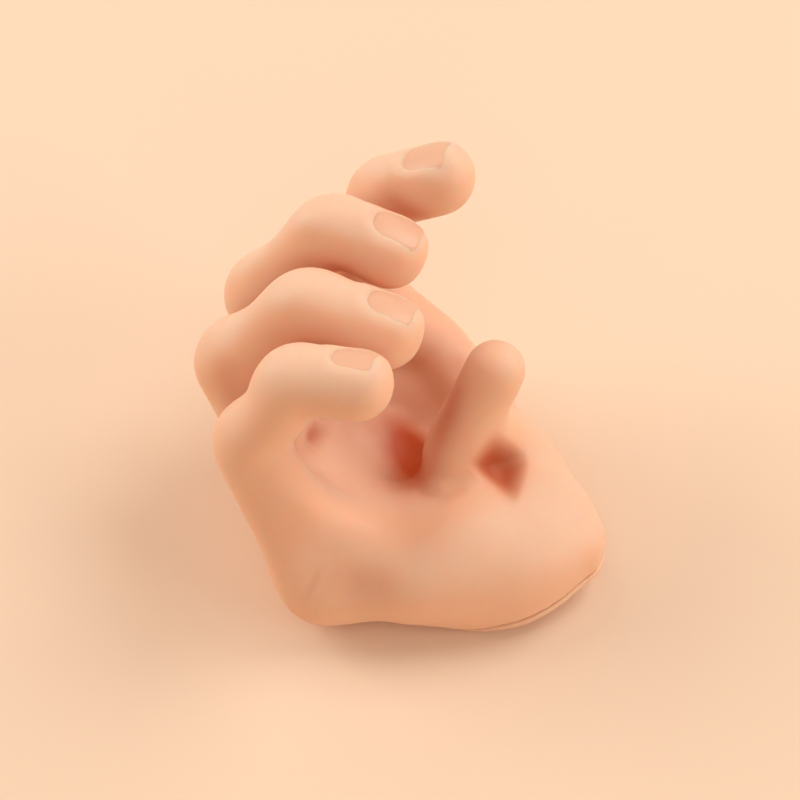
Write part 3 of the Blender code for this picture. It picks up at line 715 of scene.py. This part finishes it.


# Painted shade.
# The colour is painted darker and a deeper orange where silicone faces silicone and the sky is shut
# off, standing in for the shade there and the orange light scattered into it. How much of the sky each
# place of the skin is shut off from is worked out on a coarse copy, then carried over to the fine
# skin and to the heel plate.
COARSE_VOXEL, SKY_RAYS, SKY_REACH, SKY_NEIGHBOURS = 1.6, 96, 70.0, 10
FLOOR_LIGHT, COARSE_PASSES, SHADE_PASSES, DEEP_SHADE_PASSES = 0.5, 4, 30, 8
RAY_START, STEEP = 0.6, 0.8
GOLDEN_TURN = math.pi * (3 - math.sqrt(5))


def evened(mesh, values, passes):
    """Values of a mesh's points, each drawn towards its neighbours' a number of times."""
    both_ways, neighbours = neighbours_by(edge_ends(mesh), len(values))
    for _ in range(passes):
        mean = np.bincount(both_ways[:, 0], values[both_ways[:, 1]], len(values)) / neighbours
        values = (values + mean) / 2
    return values


def store(mesh, name, values):
    """Keeps a value from 0 to 1 for each point of a mesh, for its material to read."""
    stored = mesh.attributes.new(name, "FLOAT", "POINT")
    stored.data.foreach_set("value", np.clip(values, 0, 1).astype(np.float32))


def paint_sky_shade(mesh, glow):
    """Stores the painted shade of each point of a mesh, from how much sky it is shut off from, and the
    painted deep shade laid on its creases and hollows.
    """
    painted_shade_and_tone = np.empty(len(mesh.vertices))
    for k, point in enumerate(places(mesh)):
        found = coarse_points.find_n(Vector(point), SKY_NEIGHBOURS)
        numbers = [number for _, number, _ in found]
        weights = [math.exp(-(distance / COARSE_VOXEL) ** 2) for _, _, distance in found]
        painted_shade_and_tone[k] = shut_off[numbers] @ weights / sum(weights)
    store(mesh, "painted_shade_and_tone", evened(mesh, painted_shade_and_tone, SHADE_PASSES))
    store(mesh, "glow", evened(mesh, glow, DEEP_SHADE_PASSES))


coarse = in_scene("coarse", skin_mesh.copy())
fuse(coarse, COARSE_VOXEL)
coarse_mesh = finished(coarse, "coarse")
coarse_tree = search_tree(coarse_mesh)
turns = np.arange(SKY_RAYS) * GOLDEN_TURN
heights = np.sqrt(1 - (np.arange(SKY_RAYS) + 0.5) / SKY_RAYS)
level = np.sqrt(1 - heights ** 2)
sky = np.column_stack([np.cos(turns) * level, np.sin(turns) * level, heights])
coarse_points = KDTree(len(coarse_mesh.vertices))
shut_off = np.empty(len(coarse_mesh.vertices))
for k, (point, normal) in enumerate(zip(places(coarse_mesh), normals(coarse_mesh))):
    normal /= np.linalg.norm(normal)
    beside = np.cross(normal, (1.0, 0.0, 0.0) if abs(normal[0]) < STEEP else (0.0, 1.0, 0.0))
    beside /= np.linalg.norm(beside)
    ways = sky @ np.array([beside, np.cross(normal, beside), normal])
    start = Vector(point + normal * RAY_START)
    light = 0.0
    for way in ways:
        if coarse_tree.ray_cast(start, Vector(way), SKY_REACH)[0] is None:
            light += 1.0 if way[2] > 0 else FLOOR_LIGHT
    shut_off[k] = 1 - light / SKY_RAYS
    coarse_points.insert(Vector(point), k)
coarse_points.balance()
shut_off = evened(coarse_mesh, shut_off, COARSE_PASSES)
paint_sky_shade(skin_mesh, glow)
# The heel plate gets the same painted shade from the sky it is shut off from, but no painted deep shade.
paint_sky_shade(plate_mesh, np.zeros(len(plate_mesh.vertices)))


# Skin.
# Soft flesh-coloured silicone with a faint gloss. Its colour carries painted shade: pale peach in the
# open, warmer in the shade and deep orange in the hollows and the painted creases, with a slight
# random mottle and the fine grain of the mould.
# The lit colour, then the painted shade: warmer, shaded, and deep orange in the hollows.
LIGHT_SKIN, WARM_SHADE_SKIN = (0.885, 0.575, 0.4), (0.89, 0.515, 0.33)
SHADED_SKIN, DEEP_SHADE_SKIN = (0.87, 0.535, 0.365), (0.54, 0.088, 0.015)
SHADE_RANGES = (("Warm_Shade", 0.05, 0.22), ("Shaded", 0.26, 0.45), ("Deep_Shade", 0.66, 1.1))
MOTTLE, MOTTLE_SCALE = 0.02, 90.0
SILICONE_ROUGHNESS, SILICONE_GLOSS = 0.5, 0.3
SILICONE_SOFTNESS, SILICONE_RADIUS = 0.8, (1.0, 0.35, 0.16)
SKIN_SCATTER, SKIN_SHEEN, SKIN_SHEEN_SCALE = 1.5, (0.44, 0.56), 240.0
SKIN_GRAIN_SCALE, SKIN_GRAIN, GRAIN_HEIGHT = 1100.0, 0.06, 0.25
NOISE_LOW, NOISE_HIGH = 0.3, 0.7
CLOUDY, GRAINY, SPECKLED = 2.0, 3.0, 4.0    # how much detail a noise has


def surface(name, colour, roughness, gloss=0.5):
    """A new material with its node tree and its shader."""
    made = bpy.data.materials.new(name)
    made.use_nodes = True
    shader = made.node_tree.nodes["Principled BSDF"]
    shader.inputs["Base Color"].default_value = (*colour, 1.0)
    shader.inputs["Roughness"].default_value = roughness
    shader.inputs["Specular IOR Level"].default_value = gloss
    return made, made.node_tree, shader


def new_node(tree, kind, inputs=()):
    """A new node, each of whose named inputs is linked to a socket or set to a plain value."""
    made = tree.nodes.new(kind)
    for name, value in dict(inputs).items():
        if isinstance(value, bpy.types.NodeSocket):
            tree.links.new(value, made.inputs[name])
        else:
            made.inputs[name].default_value = value
    return made


def worked(tree, operation, *values):
    """A step of arithmetic on sockets and plain numbers."""
    step = tree.nodes.new("ShaderNodeMath")
    step.operation = operation
    for socket, value in zip(step.inputs, values):
        if isinstance(value, (int, float)):
            socket.default_value = value
        else:
            tree.links.new(value, socket)
    return step.outputs[0]


def noise(tree, scale, detail, stretch=(1.0, 1.0, 1.0)):
    """Noise over the object's own coordinates."""
    place = new_node(tree, "ShaderNodeTexCoord").outputs["Object"]
    sized = new_node(tree, "ShaderNodeMapping", {"Vector": place, "Scale": stretch})
    grain = new_node(tree, "ShaderNodeTexNoise",
                     {"Vector": sized.outputs["Vector"], "Scale": scale, "Detail": detail})
    return grain.outputs["Fac"]


def ranged(tree, value, low, high, to_low, to_high):
    """A value carried over from one range to another, and held there."""
    step = new_node(tree, "ShaderNodeMapRange", {"From Min": low, "From Max": high,
                                                 "To Min": to_low, "To Max": to_high, "Value": value})
    step.interpolation_type = "SMOOTHSTEP"
    return step.outputs["Result"]


def mixed(tree, amount, first, second):
    """Goes from one colour to another by an amount; each colour is a socket or plain."""
    blend = tree.nodes.new("ShaderNodeMix")
    blend.data_type = "RGBA"
    for name, colour in (("A", first), ("B", second)):
        if isinstance(colour, tuple):
            blend.inputs[name].default_value = (*colour, 1.0)
        else:
            tree.links.new(colour, blend.inputs[name])
    tree.links.new(amount, blend.inputs["Factor"])
    return blend.outputs["Result"]


def bumped(tree, shader, height, strength, distance):
    """Gives a shader relief from a height."""
    bump = new_node(tree, "ShaderNodeBump",
                    {"Height": height, "Strength": strength, "Distance": distance * MM})
    tree.links.new(bump.outputs["Normal"], shader.inputs["Normal"])


# The group paints shade into the colour. Its Depth input is the stored painted shade, which with a random
# mottle steps the lit colour to the shaded ones; the painted deep shade goes on top.
shade_and_tone = bpy.data.node_groups.new("skin tone", "ShaderNodeTree")
for name, kind, flow in (("Depth", "Float", "INPUT"), ("Glow", "Float", "INPUT"),
                         ("Light", "Color", "INPUT"), ("Warm_Shade", "Color", "INPUT"),
                         ("Shaded", "Color", "INPUT"), ("Deep_Shade", "Color", "INPUT"),
                         ("Colour", "Color", "OUTPUT")):
    shade_and_tone.interface.new_socket(name, in_out=flow, socket_type="NodeSocket" + kind)
taken = shade_and_tone.nodes.new("NodeGroupInput")
given = shade_and_tone.nodes.new("NodeGroupOutput")
mottle = ranged(shade_and_tone, noise(shade_and_tone, MOTTLE_SCALE, GRAINY), NOISE_LOW, NOISE_HIGH, -MOTTLE, MOTTLE)
painted_shade_and_tone = worked(shade_and_tone, "ADD", taken.outputs["Depth"], mottle)
shades = taken.outputs["Light"]
for name, low, high in SHADE_RANGES:
    shades = mixed(shade_and_tone, ranged(shade_and_tone, painted_shade_and_tone, low, high, 0.0, 1.0), shades, taken.outputs[name])
shades = mixed(shade_and_tone, taken.outputs["Glow"], shades, taken.outputs["Deep_Shade"])
shade_and_tone.links.new(shades, given.inputs["Colour"])


def with_painted_shade(tree, shader, light, warm, shaded, deep):
    """Feeds the base colour with painted shade, from the stored shade and the painted deep shade."""
    group = tree.nodes.new("ShaderNodeGroup")
    group.node_tree = shade_and_tone
    for name, colour in (("Light", light), ("Warm_Shade", warm), ("Shaded", shaded), ("Deep_Shade", deep)):
        group.inputs[name].default_value = (*colour, 1.0)
    for name, socket in (("painted_shade_and_tone", "Depth"), ("glow", "Glow")):
        stored = tree.nodes.new("ShaderNodeAttribute")
        stored.attribute_name = name
        tree.links.new(stored.outputs["Fac"], group.inputs[socket])
    tree.links.new(group.outputs["Colour"], shader.inputs["Base Color"])


def translucent(shader, weight, radius, scale):
    """Lets light wander under the surface."""
    shader.subsurface_method = "RANDOM_WALK"
    shader.inputs["Subsurface Weight"].default_value = weight
    shader.inputs["Subsurface Radius"].default_value = radius
    shader.inputs["Subsurface Scale"].default_value = scale * MM


def silicone(name, scatter):
    """A material of the casting's silicone, with how far light wanders in it and painted shade in its
    colour.
    """
    look, tree, shader = surface(name, LIGHT_SKIN, SILICONE_ROUGHNESS, SILICONE_GLOSS)
    translucent(shader, SILICONE_SOFTNESS, SILICONE_RADIUS, scatter)
    with_painted_shade(tree, shader, LIGHT_SKIN, WARM_SHADE_SKIN, SHADED_SKIN, DEEP_SHADE_SKIN)
    return look, tree, shader


def piece(name, mesh, look, cad_node):
    """Puts a finished mesh in the scene in place of a CAD node."""
    mesh.materials.clear()
    mesh.materials.append(look)
    mesh.shade_smooth()
    made = in_scene(name, mesh)
    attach(made, "root")
    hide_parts(cad_node)


skin_look, tree, shader = silicone("skin", SKIN_SCATTER)
sheen = ranged(tree, noise(tree, SKIN_SHEEN_SCALE, CLOUDY), NOISE_LOW, NOISE_HIGH, *SKIN_SHEEN)
tree.links.new(sheen, shader.inputs["Roughness"])
bumped(tree, shader, noise(tree, SKIN_GRAIN_SCALE, GRAINY), SKIN_GRAIN, GRAIN_HEIGHT)
piece("skin_cast", skin_mesh, skin_look, "hand_skin")


# Nail plates.
# Stiff satin plates of a pinker plastic, pressed into their beds. One tree bends a flat grid to the
# round of the fingertip; the edges dip under the skin at the root and the sides, and end free ahead.
NAIL_COLOUR, NAIL_EDGE_SHADE_COLOUR = (0.835, 0.47, 0.305), (0.825, 0.45, 0.285)
NAIL_ROUGHNESS, NAIL_GLOSS = 0.36, 0.35
NAIL_SOFTNESS, NAIL_RADIUS, NAIL_SCATTER = 0.1, (1.0, 0.38, 0.2), 1.0
NAIL_GRAIN_SCALE, NAIL_GRAIN, NAIL_GRAIN_HEIGHT = 300.0, 0.05, 0.2
USUAL_LENGTH, USUAL_BREADTH, USUAL_FINGER_BREADTH = 12.0, 10.0, 17.0
NAIL_ROWS, NAIL_COLUMNS, NAIL_GRID_END = 44, 32, 0.999
NAIL_DIP, ROOT_DIP_START, SIDE_DIP_START = 0.15, 0.72, 0.8
NAIL_TIP_FALL, TIP_FALL_START = 0.22, 0.93
NAIL_WELD = 0.002
NAIL_SHADE, NAIL_EDGE_SHADE, NAIL_EDGE_REACH = 0.3, 0.3, 0.6
NAIL_TIP_PALER, NAIL_TIP_START = 0.25, 0.7


def geometry_tree(name, inputs):
    """An empty geometry tree with float inputs, its group input, and its output node."""
    made = bpy.data.node_groups.new(name, "GeometryNodeTree")
    for label, number in inputs:
        socket = made.interface.new_socket(label, in_out="INPUT", socket_type="NodeSocketFloat")
        socket.default_value = number
    made.interface.new_socket("Geometry", in_out="OUTPUT", socket_type="NodeSocketGeometry")
    return made, made.nodes.new("NodeGroupInput"), made.nodes.new("NodeGroupOutput")


def arithmetic(tree):
    """Functions that add, subtract, multiply, divide, raise and make positive in one tree."""
    names = ("ADD", "SUBTRACT", "MULTIPLY", "DIVIDE", "POWER", "ABSOLUTE")
    return [partial(worked, tree, name) for name in names]


def along_z(tree, length):
    """A vector straight up, of a length."""
    return new_node(tree, "ShaderNodeCombineXYZ", {"Z": length}).outputs["Vector"]


def joined(tree, shapes):
    """Several shapes as one."""
    whole = tree.nodes.new("GeometryNodeJoinGeometry")
    for shape in shapes:
        tree.links.new(shape, whole.inputs["Geometry"])
    return whole.outputs["Geometry"]


def end_tree(tree, given, shape, look):
    """Ends a tree in plain, dressed geometry."""
    plain = new_node(tree, "GeometryNodeRealizeInstances", {"Geometry": shape})
    dressed = new_node(tree, "GeometryNodeSetMaterial",
                       {"Geometry": plain.outputs["Geometry"], "Material": look})
    tree.links.new(dressed.outputs["Geometry"], given.inputs["Geometry"])


def grown(name, tree, sizes, matrix):
    """The mesh that a tree makes with these sizes, put in its place."""
    holder = in_scene(name, bpy.data.meshes.new(name))
    step = holder.modifiers.new("Shape", "NODES")
    step.node_group = tree
    for socket in tree.interface.items_tree:
        if socket.in_out == "INPUT" and socket.name in sizes:
            step[socket.identifier] = sizes[socket.name]
    mesh = finished(holder, name)
    mesh.transform(matrix)
    return mesh


nail_look, tree, shader = surface("nail", NAIL_COLOUR, NAIL_ROUGHNESS, NAIL_GLOSS)
translucent(shader, NAIL_SOFTNESS, NAIL_RADIUS, NAIL_SCATTER)
# Painted shade: the nail's colour steps to a darker shade at its edges, and to the skin's warm shade past
# them.
with_painted_shade(tree, shader, NAIL_COLOUR, NAIL_COLOUR, NAIL_EDGE_SHADE_COLOUR, WARM_SHADE_SKIN)
bumped(tree, shader, noise(tree, NAIL_GRAIN_SCALE, CLOUDY), NAIL_GRAIN, NAIL_GRAIN_HEIGHT)

tree, taken, given = geometry_tree("nail plate", (
    ("Length", USUAL_LENGTH * MM), ("Breadth", USUAL_BREADTH * MM),
    ("Finger Breadth", USUAL_FINGER_BREADTH * MM), ("Thickness", NAIL_THICKNESS * MM),
    ("Root", NAIL_ROOT), ("Free Edge", NAIL_FREE_EDGE), ("Dip", NAIL_DIP * MM)))
nail_tree, size = tree, taken.outputs
plus, minus, times, over, power, absolute = arithmetic(tree)


def crowded(place):
    """A place on the grid, from -1 to 1, drawn towards the nearer edge."""
    return worked(nail_tree, "SINE", times(place, math.pi / 2))


grid = new_node(tree, "GeometryNodeMeshGrid", {"Size X": 2.0, "Size Y": 2.0,
                                               "Vertices X": NAIL_ROWS, "Vertices Y": NAIL_COLUMNS})
spot = new_node(tree, "GeometryNodeInputPosition").outputs["Position"]
parts = new_node(tree, "ShaderNodeSeparateXYZ", {"Vector": spot}).outputs
forward_share = times(crowded(parts["X"]), NAIL_GRID_END)
side_share = crowded(parts["Y"])
in_front = worked(tree, "GREATER_THAN", forward_share, 0.0)
squareness = plus(size["Root"], times(in_front, minus(size["Free Edge"], size["Root"])))
narrowed = power(minus(1.0, power(absolute(forward_share), squareness)), over(1.0, squareness))
along = times(forward_share, times(size["Length"], 0.5))
across = times(times(side_share, narrowed), times(size["Breadth"], 0.5))
across_fall = over(times(across, across), times(size["Finger Breadth"], NAIL_ACROSS_ROUND))
along_fall = over(times(along, along), 2 * NAIL_ALONG_ROUND * MM)
root_dip = ranged(tree, times(forward_share, -1.0), ROOT_DIP_START, 1.0, 0.0, 1.0)
side_dip = ranged(tree, absolute(side_share), SIDE_DIP_START, 1.0, 0.0, 1.0)
dip = times(worked(tree, "MAXIMUM", root_dip, side_dip), size["Dip"])
tip_fall = times(ranged(tree, forward_share, TIP_FALL_START, 1.0, 0.0, 1.0), NAIL_TIP_FALL * MM)
fall = plus(plus(across_fall, along_fall), plus(dip, tip_fall))
bent_spot = new_node(tree, "ShaderNodeCombineXYZ", {"X": along, "Y": across, "Z": times(fall, -1.0)})
bent = new_node(tree, "GeometryNodeSetPosition", {"Geometry": grid.outputs["Mesh"],
                                                  "Position": bent_spot.outputs["Vector"]})
thickness_down = along_z(tree, times(size["Thickness"], -1.0))
thick = new_node(tree, "GeometryNodeExtrudeMesh", {"Mesh": bent.outputs["Geometry"],
                                                   "Offset": thickness_down, "Individual": False})
under = new_node(tree, "GeometryNodeFlipFaces", {"Mesh": thick.outputs["Mesh"]})
both = joined(tree, (under.outputs["Mesh"], bent.outputs["Geometry"]))
welded = new_node(tree, "GeometryNodeMergeByDistance",
                  {"Geometry": both, "Distance": NAIL_WELD * MM})
end_tree(tree, given, welded.outputs["Geometry"], nail_look)

for digit in NAIL_LENGTH:
    nail = nail_frame(digit)
    axes = np.column_stack([nail.along, nail.side, nail.out])
    turned = Matrix([(*row, place * MM) for row, place in zip(axes, nail.middle)] + [(0, 0, 0, 1)])
    nail_mesh = grown(digit + "_plate", nail_tree, {
        "Length": 2 * nail.half_length * MM, "Breadth": 2 * nail.half_breadth * MM,
        "Finger Breadth": nail.breadth * MM, "Thickness": NAIL_THICKNESS * MM}, turned)
    around = places(nail_mesh) - nail.middle
    margin = nail_margin(nail, around @ nail.along, around @ nail.side)
    ahead = np.clip(around @ nail.along / nail.half_length, -1, 1)
    # Painted shade: the plate darkens towards its outline, where it dips under the fold of skin; the
    # paler free tip is the nail's own colour.
    painted_shade_and_tone = NAIL_SHADE + NAIL_EDGE_SHADE * np.exp(margin / NAIL_EDGE_REACH)
    painted_shade_and_tone -= NAIL_TIP_PALER * np.clip(ahead - NAIL_TIP_START, 0, 1)
    store(nail_mesh, "painted_shade_and_tone", painted_shade_and_tone)
    piece(digit + "_nail_plate", nail_mesh, nail_look, digit + "_nail")


# Heel plate and its screws.
# A thin moulded plate in the skin's colour, held by three countersunk steel screws. The screws are
# one tree: a head with a cross recess, a core, and a thread wound on it. The plate is drilled for them.
SCREW_ROW, SCREW_END = 34.0, 40.0
SCREW_PLACES = ((SCREW_ROW, -14.0), (SCREW_ROW, -3.0), (SCREW_END, -8.5))
SCREW_HEAD_RADIUS, SCREW_HEAD_HEIGHT, SCREW_SHANK_RADIUS, SCREW_LENGTH = 2.8, 1.5, 1.25, 8.0
SCREW_SINK, SCREW_SIDES, SCREW_CORE, SCREW_CORE_SIDES = 0.2, 48, 0.8, 32
RECESS_REACH, RECESS_WIDTH, RECESS_CUTTER = 1.7, 0.7, 1.8
THREAD_PITCH, THREAD_RUN, THREAD_END, THREAD_HEIGHT = 0.8, 0.86, 0.35, 0.18
THREAD_STEPS, THREAD_SIDES = 24, 6
HOLE_ABOVE, HOLE_BELOW = 1.0, 4.0
STEEL_COLOUR, STEEL_ROUGHNESS, STEEL_SHEEN = (0.55, 0.55, 0.56), 0.35, (0.26, 0.46)
STEEL_GRAIN_SCALE, STEEL_STRETCH = 160.0, (1.0, 1.0, 6.0)
STEEL_GRAIN, STEEL_GRAIN_HEIGHT = 0.12, 0.1
PLATE_SCATTER, PLATE_GRAIN_SCALE, PLATE_GRAIN = 3.0, 700.0, 0.1

steel_look, tree, shader = surface("steel", STEEL_COLOUR, STEEL_ROUGHNESS)
shader.inputs["Metallic"].default_value = 1.0
drawn = noise(tree, STEEL_GRAIN_SCALE, CLOUDY, STEEL_STRETCH)
tree.links.new(ranged(tree, drawn, NOISE_LOW, NOISE_HIGH, *STEEL_SHEEN), shader.inputs["Roughness"])
bumped(tree, shader, drawn, STEEL_GRAIN, STEEL_GRAIN_HEIGHT)

tree, taken, given = geometry_tree("screw", (
    ("Head Radius", SCREW_HEAD_RADIUS * MM), ("Head Height", SCREW_HEAD_HEIGHT * MM),
    ("Shank Radius", SCREW_SHANK_RADIUS * MM), ("Length", SCREW_LENGTH * MM),
    ("Pitch", THREAD_PITCH * MM), ("Recess", RECESS_REACH * MM)))
screw_tree, size = tree, taken.outputs
plus, minus, times, over = arithmetic(tree)[:4]


def raised(tree, shape, height):
    """A shape moved up by a height."""
    move = new_node(tree, "GeometryNodeTransform",
                    {"Geometry": shape, "Translation": along_z(tree, height)})
    return move.outputs["Geometry"]


head = new_node(tree, "GeometryNodeMeshCone",
                {"Vertices": SCREW_SIDES, "Radius Top": size["Head Radius"],
                 "Radius Bottom": size["Shank Radius"], "Depth": size["Head Height"]})
cross = tree.nodes.new("GeometryNodeMeshBoolean")
cross.operation = "DIFFERENCE"
head_down = times(size["Head Height"], -1.0)
tree.links.new(raised(tree, head.outputs["Mesh"], head_down), cross.inputs[0])
for long_way, short_way in (("X", "Y"), ("Y", "X")):
    bar_size = new_node(tree, "ShaderNodeCombineXYZ", {
        long_way: times(size["Recess"], 2.0), short_way: RECESS_WIDTH * MM, "Z": RECESS_CUTTER * MM})
    bar = new_node(tree, "GeometryNodeMeshCube", {"Size": bar_size.outputs["Vector"]})
    tree.links.new(bar.outputs["Mesh"], cross.inputs[1])
core_radius = times(size["Shank Radius"], SCREW_CORE)
core_length = minus(size["Length"], size["Head Height"])
shank = new_node(tree, "GeometryNodeMeshCylinder",
                 {"Vertices": SCREW_CORE_SIDES, "Radius": core_radius, "Depth": core_length})
shank_middle = times(plus(size["Length"], size["Head Height"]), -0.5)
thread_length = times(core_length, THREAD_RUN)
thread = new_node(tree, "GeometryNodeCurveSpiral",
                  {"Resolution": THREAD_STEPS, "Start Radius": core_radius, "End Radius": core_radius,
                   "Height": thread_length, "Rotations": over(thread_length, size["Pitch"])})
section = new_node(tree, "GeometryNodeCurvePrimitiveCircle",
                   {"Resolution": THREAD_SIDES, "Radius": times(size["Shank Radius"], THREAD_HEIGHT)})
wound = new_node(tree, "GeometryNodeCurveToMesh",
                 {"Curve": thread.outputs["Curve"], "Profile Curve": section.outputs["Curve"],
                  "Fill Caps": True})
thread_start = times(minus(size["Length"], THREAD_END * MM), -1.0)
whole = joined(tree, (cross.outputs["Mesh"], raised(tree, shank.outputs["Mesh"], shank_middle),
                      raised(tree, wound.outputs["Mesh"], thread_start)))
end_tree(tree, given, whole, steel_look)


def hole_rings(turned):
    """Rings of the countersunk hole round a screw, from above its head to past the plate."""
    profile = ((HOLE_ABOVE, SCREW_HEAD_RADIUS), (0.0, SCREW_HEAD_RADIUS),
               (-SCREW_HEAD_HEIGHT, SCREW_SHANK_RADIUS), (-HOLE_BELOW, SCREW_SHANK_RADIUS))
    angles = np.arange(SCREW_SIDES) * math.tau / SCREW_SIDES
    rings = []
    for height, radius in profile:
        reach = radius + CLEARANCE
        points = [Vector((math.cos(angle) * reach, math.sin(angle) * reach, height)) for angle in angles]
        rings.append([turned @ (point * MM) / MM for point in points])
    return rings


down = Vector((math.sin(CUT_SLOPE), 0.0, -math.cos(CUT_SLOPE)))
forward = Vector((math.cos(CUT_SLOPE), 0.0, math.sin(CUT_SLOPE)))
plate_holder = in_scene("heel_plate_cut", plate_mesh)
holes = []
for number, (x, y) in enumerate(SCREW_PLACES, 1):
    on_face = Vector((CUT_START, y, 0.0)) + forward * ((x - CUT_START) / math.cos(CUT_SLOPE))
    turned = (Matrix.Translation((on_face - down * SCREW_SINK) * MM)
              @ down.to_track_quat("Z", "Y").to_matrix().to_4x4())
    screw_mesh = grown(f"screw_{number}_shape", screw_tree, {}, turned)
    piece(f"screw_{number}", screw_mesh, steel_look, f"wrist_screw_{number}")
    screw_mesh.shade_flat()
    hole = lofted(f"hole_{number}", [hole_rings(turned)])
    boolean(plate_holder, "DIFFERENCE", hole)
    holes.append(hole)
plate_mesh = finished(plate_holder, "heel_plate")
for hole in holes:
    bpy.data.objects.remove(hole)
plate_look, tree, shader = silicone("plate", PLATE_SCATTER)
bumped(tree, shader, noise(tree, PLATE_GRAIN_SCALE, GRAINY), PLATE_GRAIN, GRAIN_HEIGHT)
piece("heel_plate", plate_mesh, plate_look, "wrist_plate")


# Stiff parts inside.
# An off-white core of cast resin with fine specks in it, and bent steel wires fixed in it that keep
# the fingers in their pose. They are sealed in the casting, and keep their CAD meshes.
CORE_COLOUR, CORE_SPECK, CORE_ROUGHNESS = (0.75, 0.72, 0.62), (0.62, 0.58, 0.47), 0.7
SPECK_SCALE, SPECK_LOW, SPECK_HIGH = 420.0, 0.55, 0.68
CORE_GRAIN_SCALE, CORE_GRAIN, CORE_GRAIN_HEIGHT = 800.0, 0.3, 0.2

core_look, tree, shader = surface("core", CORE_COLOUR, CORE_ROUGHNESS)
specks = ranged(tree, noise(tree, SPECK_SCALE, SPECKLED), SPECK_LOW, SPECK_HIGH, 0.0, 1.0)
tree.links.new(mixed(tree, specks, CORE_COLOUR, CORE_SPECK), shader.inputs["Base Color"])
bumped(tree, shader, noise(tree, CORE_GRAIN_SCALE, SPECKLED), CORE_GRAIN, CORE_GRAIN_HEIGHT)
for name, cad_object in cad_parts.items():
    if name == "palm_core" or name.endswith("_rod"):
        for slot in cad_object.material_slots:
            slot.material = core_look if name == "palm_core" else steel_look


# Floor.
# A sheet of pale warm paper that the hand lies on, wide enough to fill the picture, with a faintly
# cloudy tone and almost no gloss.
FLOOR_COLOUR, PAPER_COLOUR = (0.9, 0.655, 0.47), (0.91, 0.675, 0.495)
FLOOR_ROUGHNESS, FLOOR_GLOSS, PAPER_SCALE = 0.8, 0.1, 6.0
FLOOR_HALF = 3               # metres

floor_look, tree, shader = surface("floor", FLOOR_COLOUR, FLOOR_ROUGHNESS, FLOOR_GLOSS)
clouds = mixed(tree, noise(tree, PAPER_SCALE, CLOUDY), FLOOR_COLOUR, PAPER_COLOUR)
tree.links.new(clouds, shader.inputs["Base Color"])
floor_mesh = bpy.data.meshes.new("floor")
floor_corners = [(x * FLOOR_HALF, y * FLOOR_HALF, 0) for x, y in ((-1, -1), (1, -1), (1, 1), (-1, 1))]
floor_mesh.from_pydata(floor_corners, [], [(0, 1, 2, 3)])
floor_mesh.materials.append(floor_look)
floor = in_scene("floor", floor_mesh)
floor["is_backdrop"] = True


# Lights.
# Five round lamps, large enough for soft shadows, that all look at the hand: a key light above the
# thumb side, and others that fill the shade from the right, the left, the back and the front.
Lamp = namedtuple("Lamp", "name place power")    # metres and watts
LAMPS = (
    Lamp("key", (0.55, 0.63, 1.03), 7.2),
    Lamp("right fill", (1.18, -0.1, 0.52), 4.4),
    Lamp("left fill", (-1.1, 0.04, 0.68), 6.6),
    Lamp("back fill", (-0.7, 0.45, 1.03), 1.9),
    Lamp("front fill", (0.25, -0.83, 1.03), 1.8),
)
LAMP_SIZE, LAMP_TARGET = 0.8, Vector((0.0, 0.0, 0.03))

for lamp in LAMPS:
    lamp_data = bpy.data.lights.new(lamp.name, "AREA")
    lamp_data.shape = "DISK"
    lamp_data.size = LAMP_SIZE
    lamp_data.energy = lamp.power
    made = in_scene(lamp.name, lamp_data)
    made.location = lamp.place
    made.rotation_mode = "QUATERNION"
    made.rotation_quaternion = (LAMP_TARGET - Vector(lamp.place)).to_track_quat("-Z", "Y")


# Background.
# Soft warm light from all round, as in a bright room. The camera sees the floor's own pale tone in
# its place, and so does whatever is mirrored in a piece or seen through it.
ROOM_LIGHT, ROOM_STRENGTH, BACKDROP = (1.0, 0.82, 0.66), 0.38, (0.96, 0.69, 0.48)

world = bpy.data.worlds.new("world")
bpy.context.scene.world = world
world.use_nodes = True
tree = world.node_tree
room = tree.nodes["Background"]
room.inputs["Color"].default_value = (*ROOM_LIGHT, 1.0)
room.inputs["Strength"].default_value = ROOM_STRENGTH
backdrop = new_node(tree, "ShaderNodeBackground", {"Color": (*BACKDROP, 1.0)})
path = tree.nodes.new("ShaderNodeLightPath")
seen_or_mirrored = worked(tree, "MAXIMUM", path.outputs["Is Camera Ray"], path.outputs["Is Glossy Ray"])
shown = worked(tree, "MAXIMUM", seen_or_mirrored, path.outputs["Is Transmission Ray"])
either = tree.nodes.new("ShaderNodeMixShader")
for number, socket in enumerate((shown, room.outputs[0], backdrop.outputs[0])):
    tree.links.new(socket, either.inputs[number])
tree.links.new(either.outputs[0], tree.nodes["World Output"].inputs["Surface"])
bpy.context.scene.view_settings.view_transform = "Standard"

low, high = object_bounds()
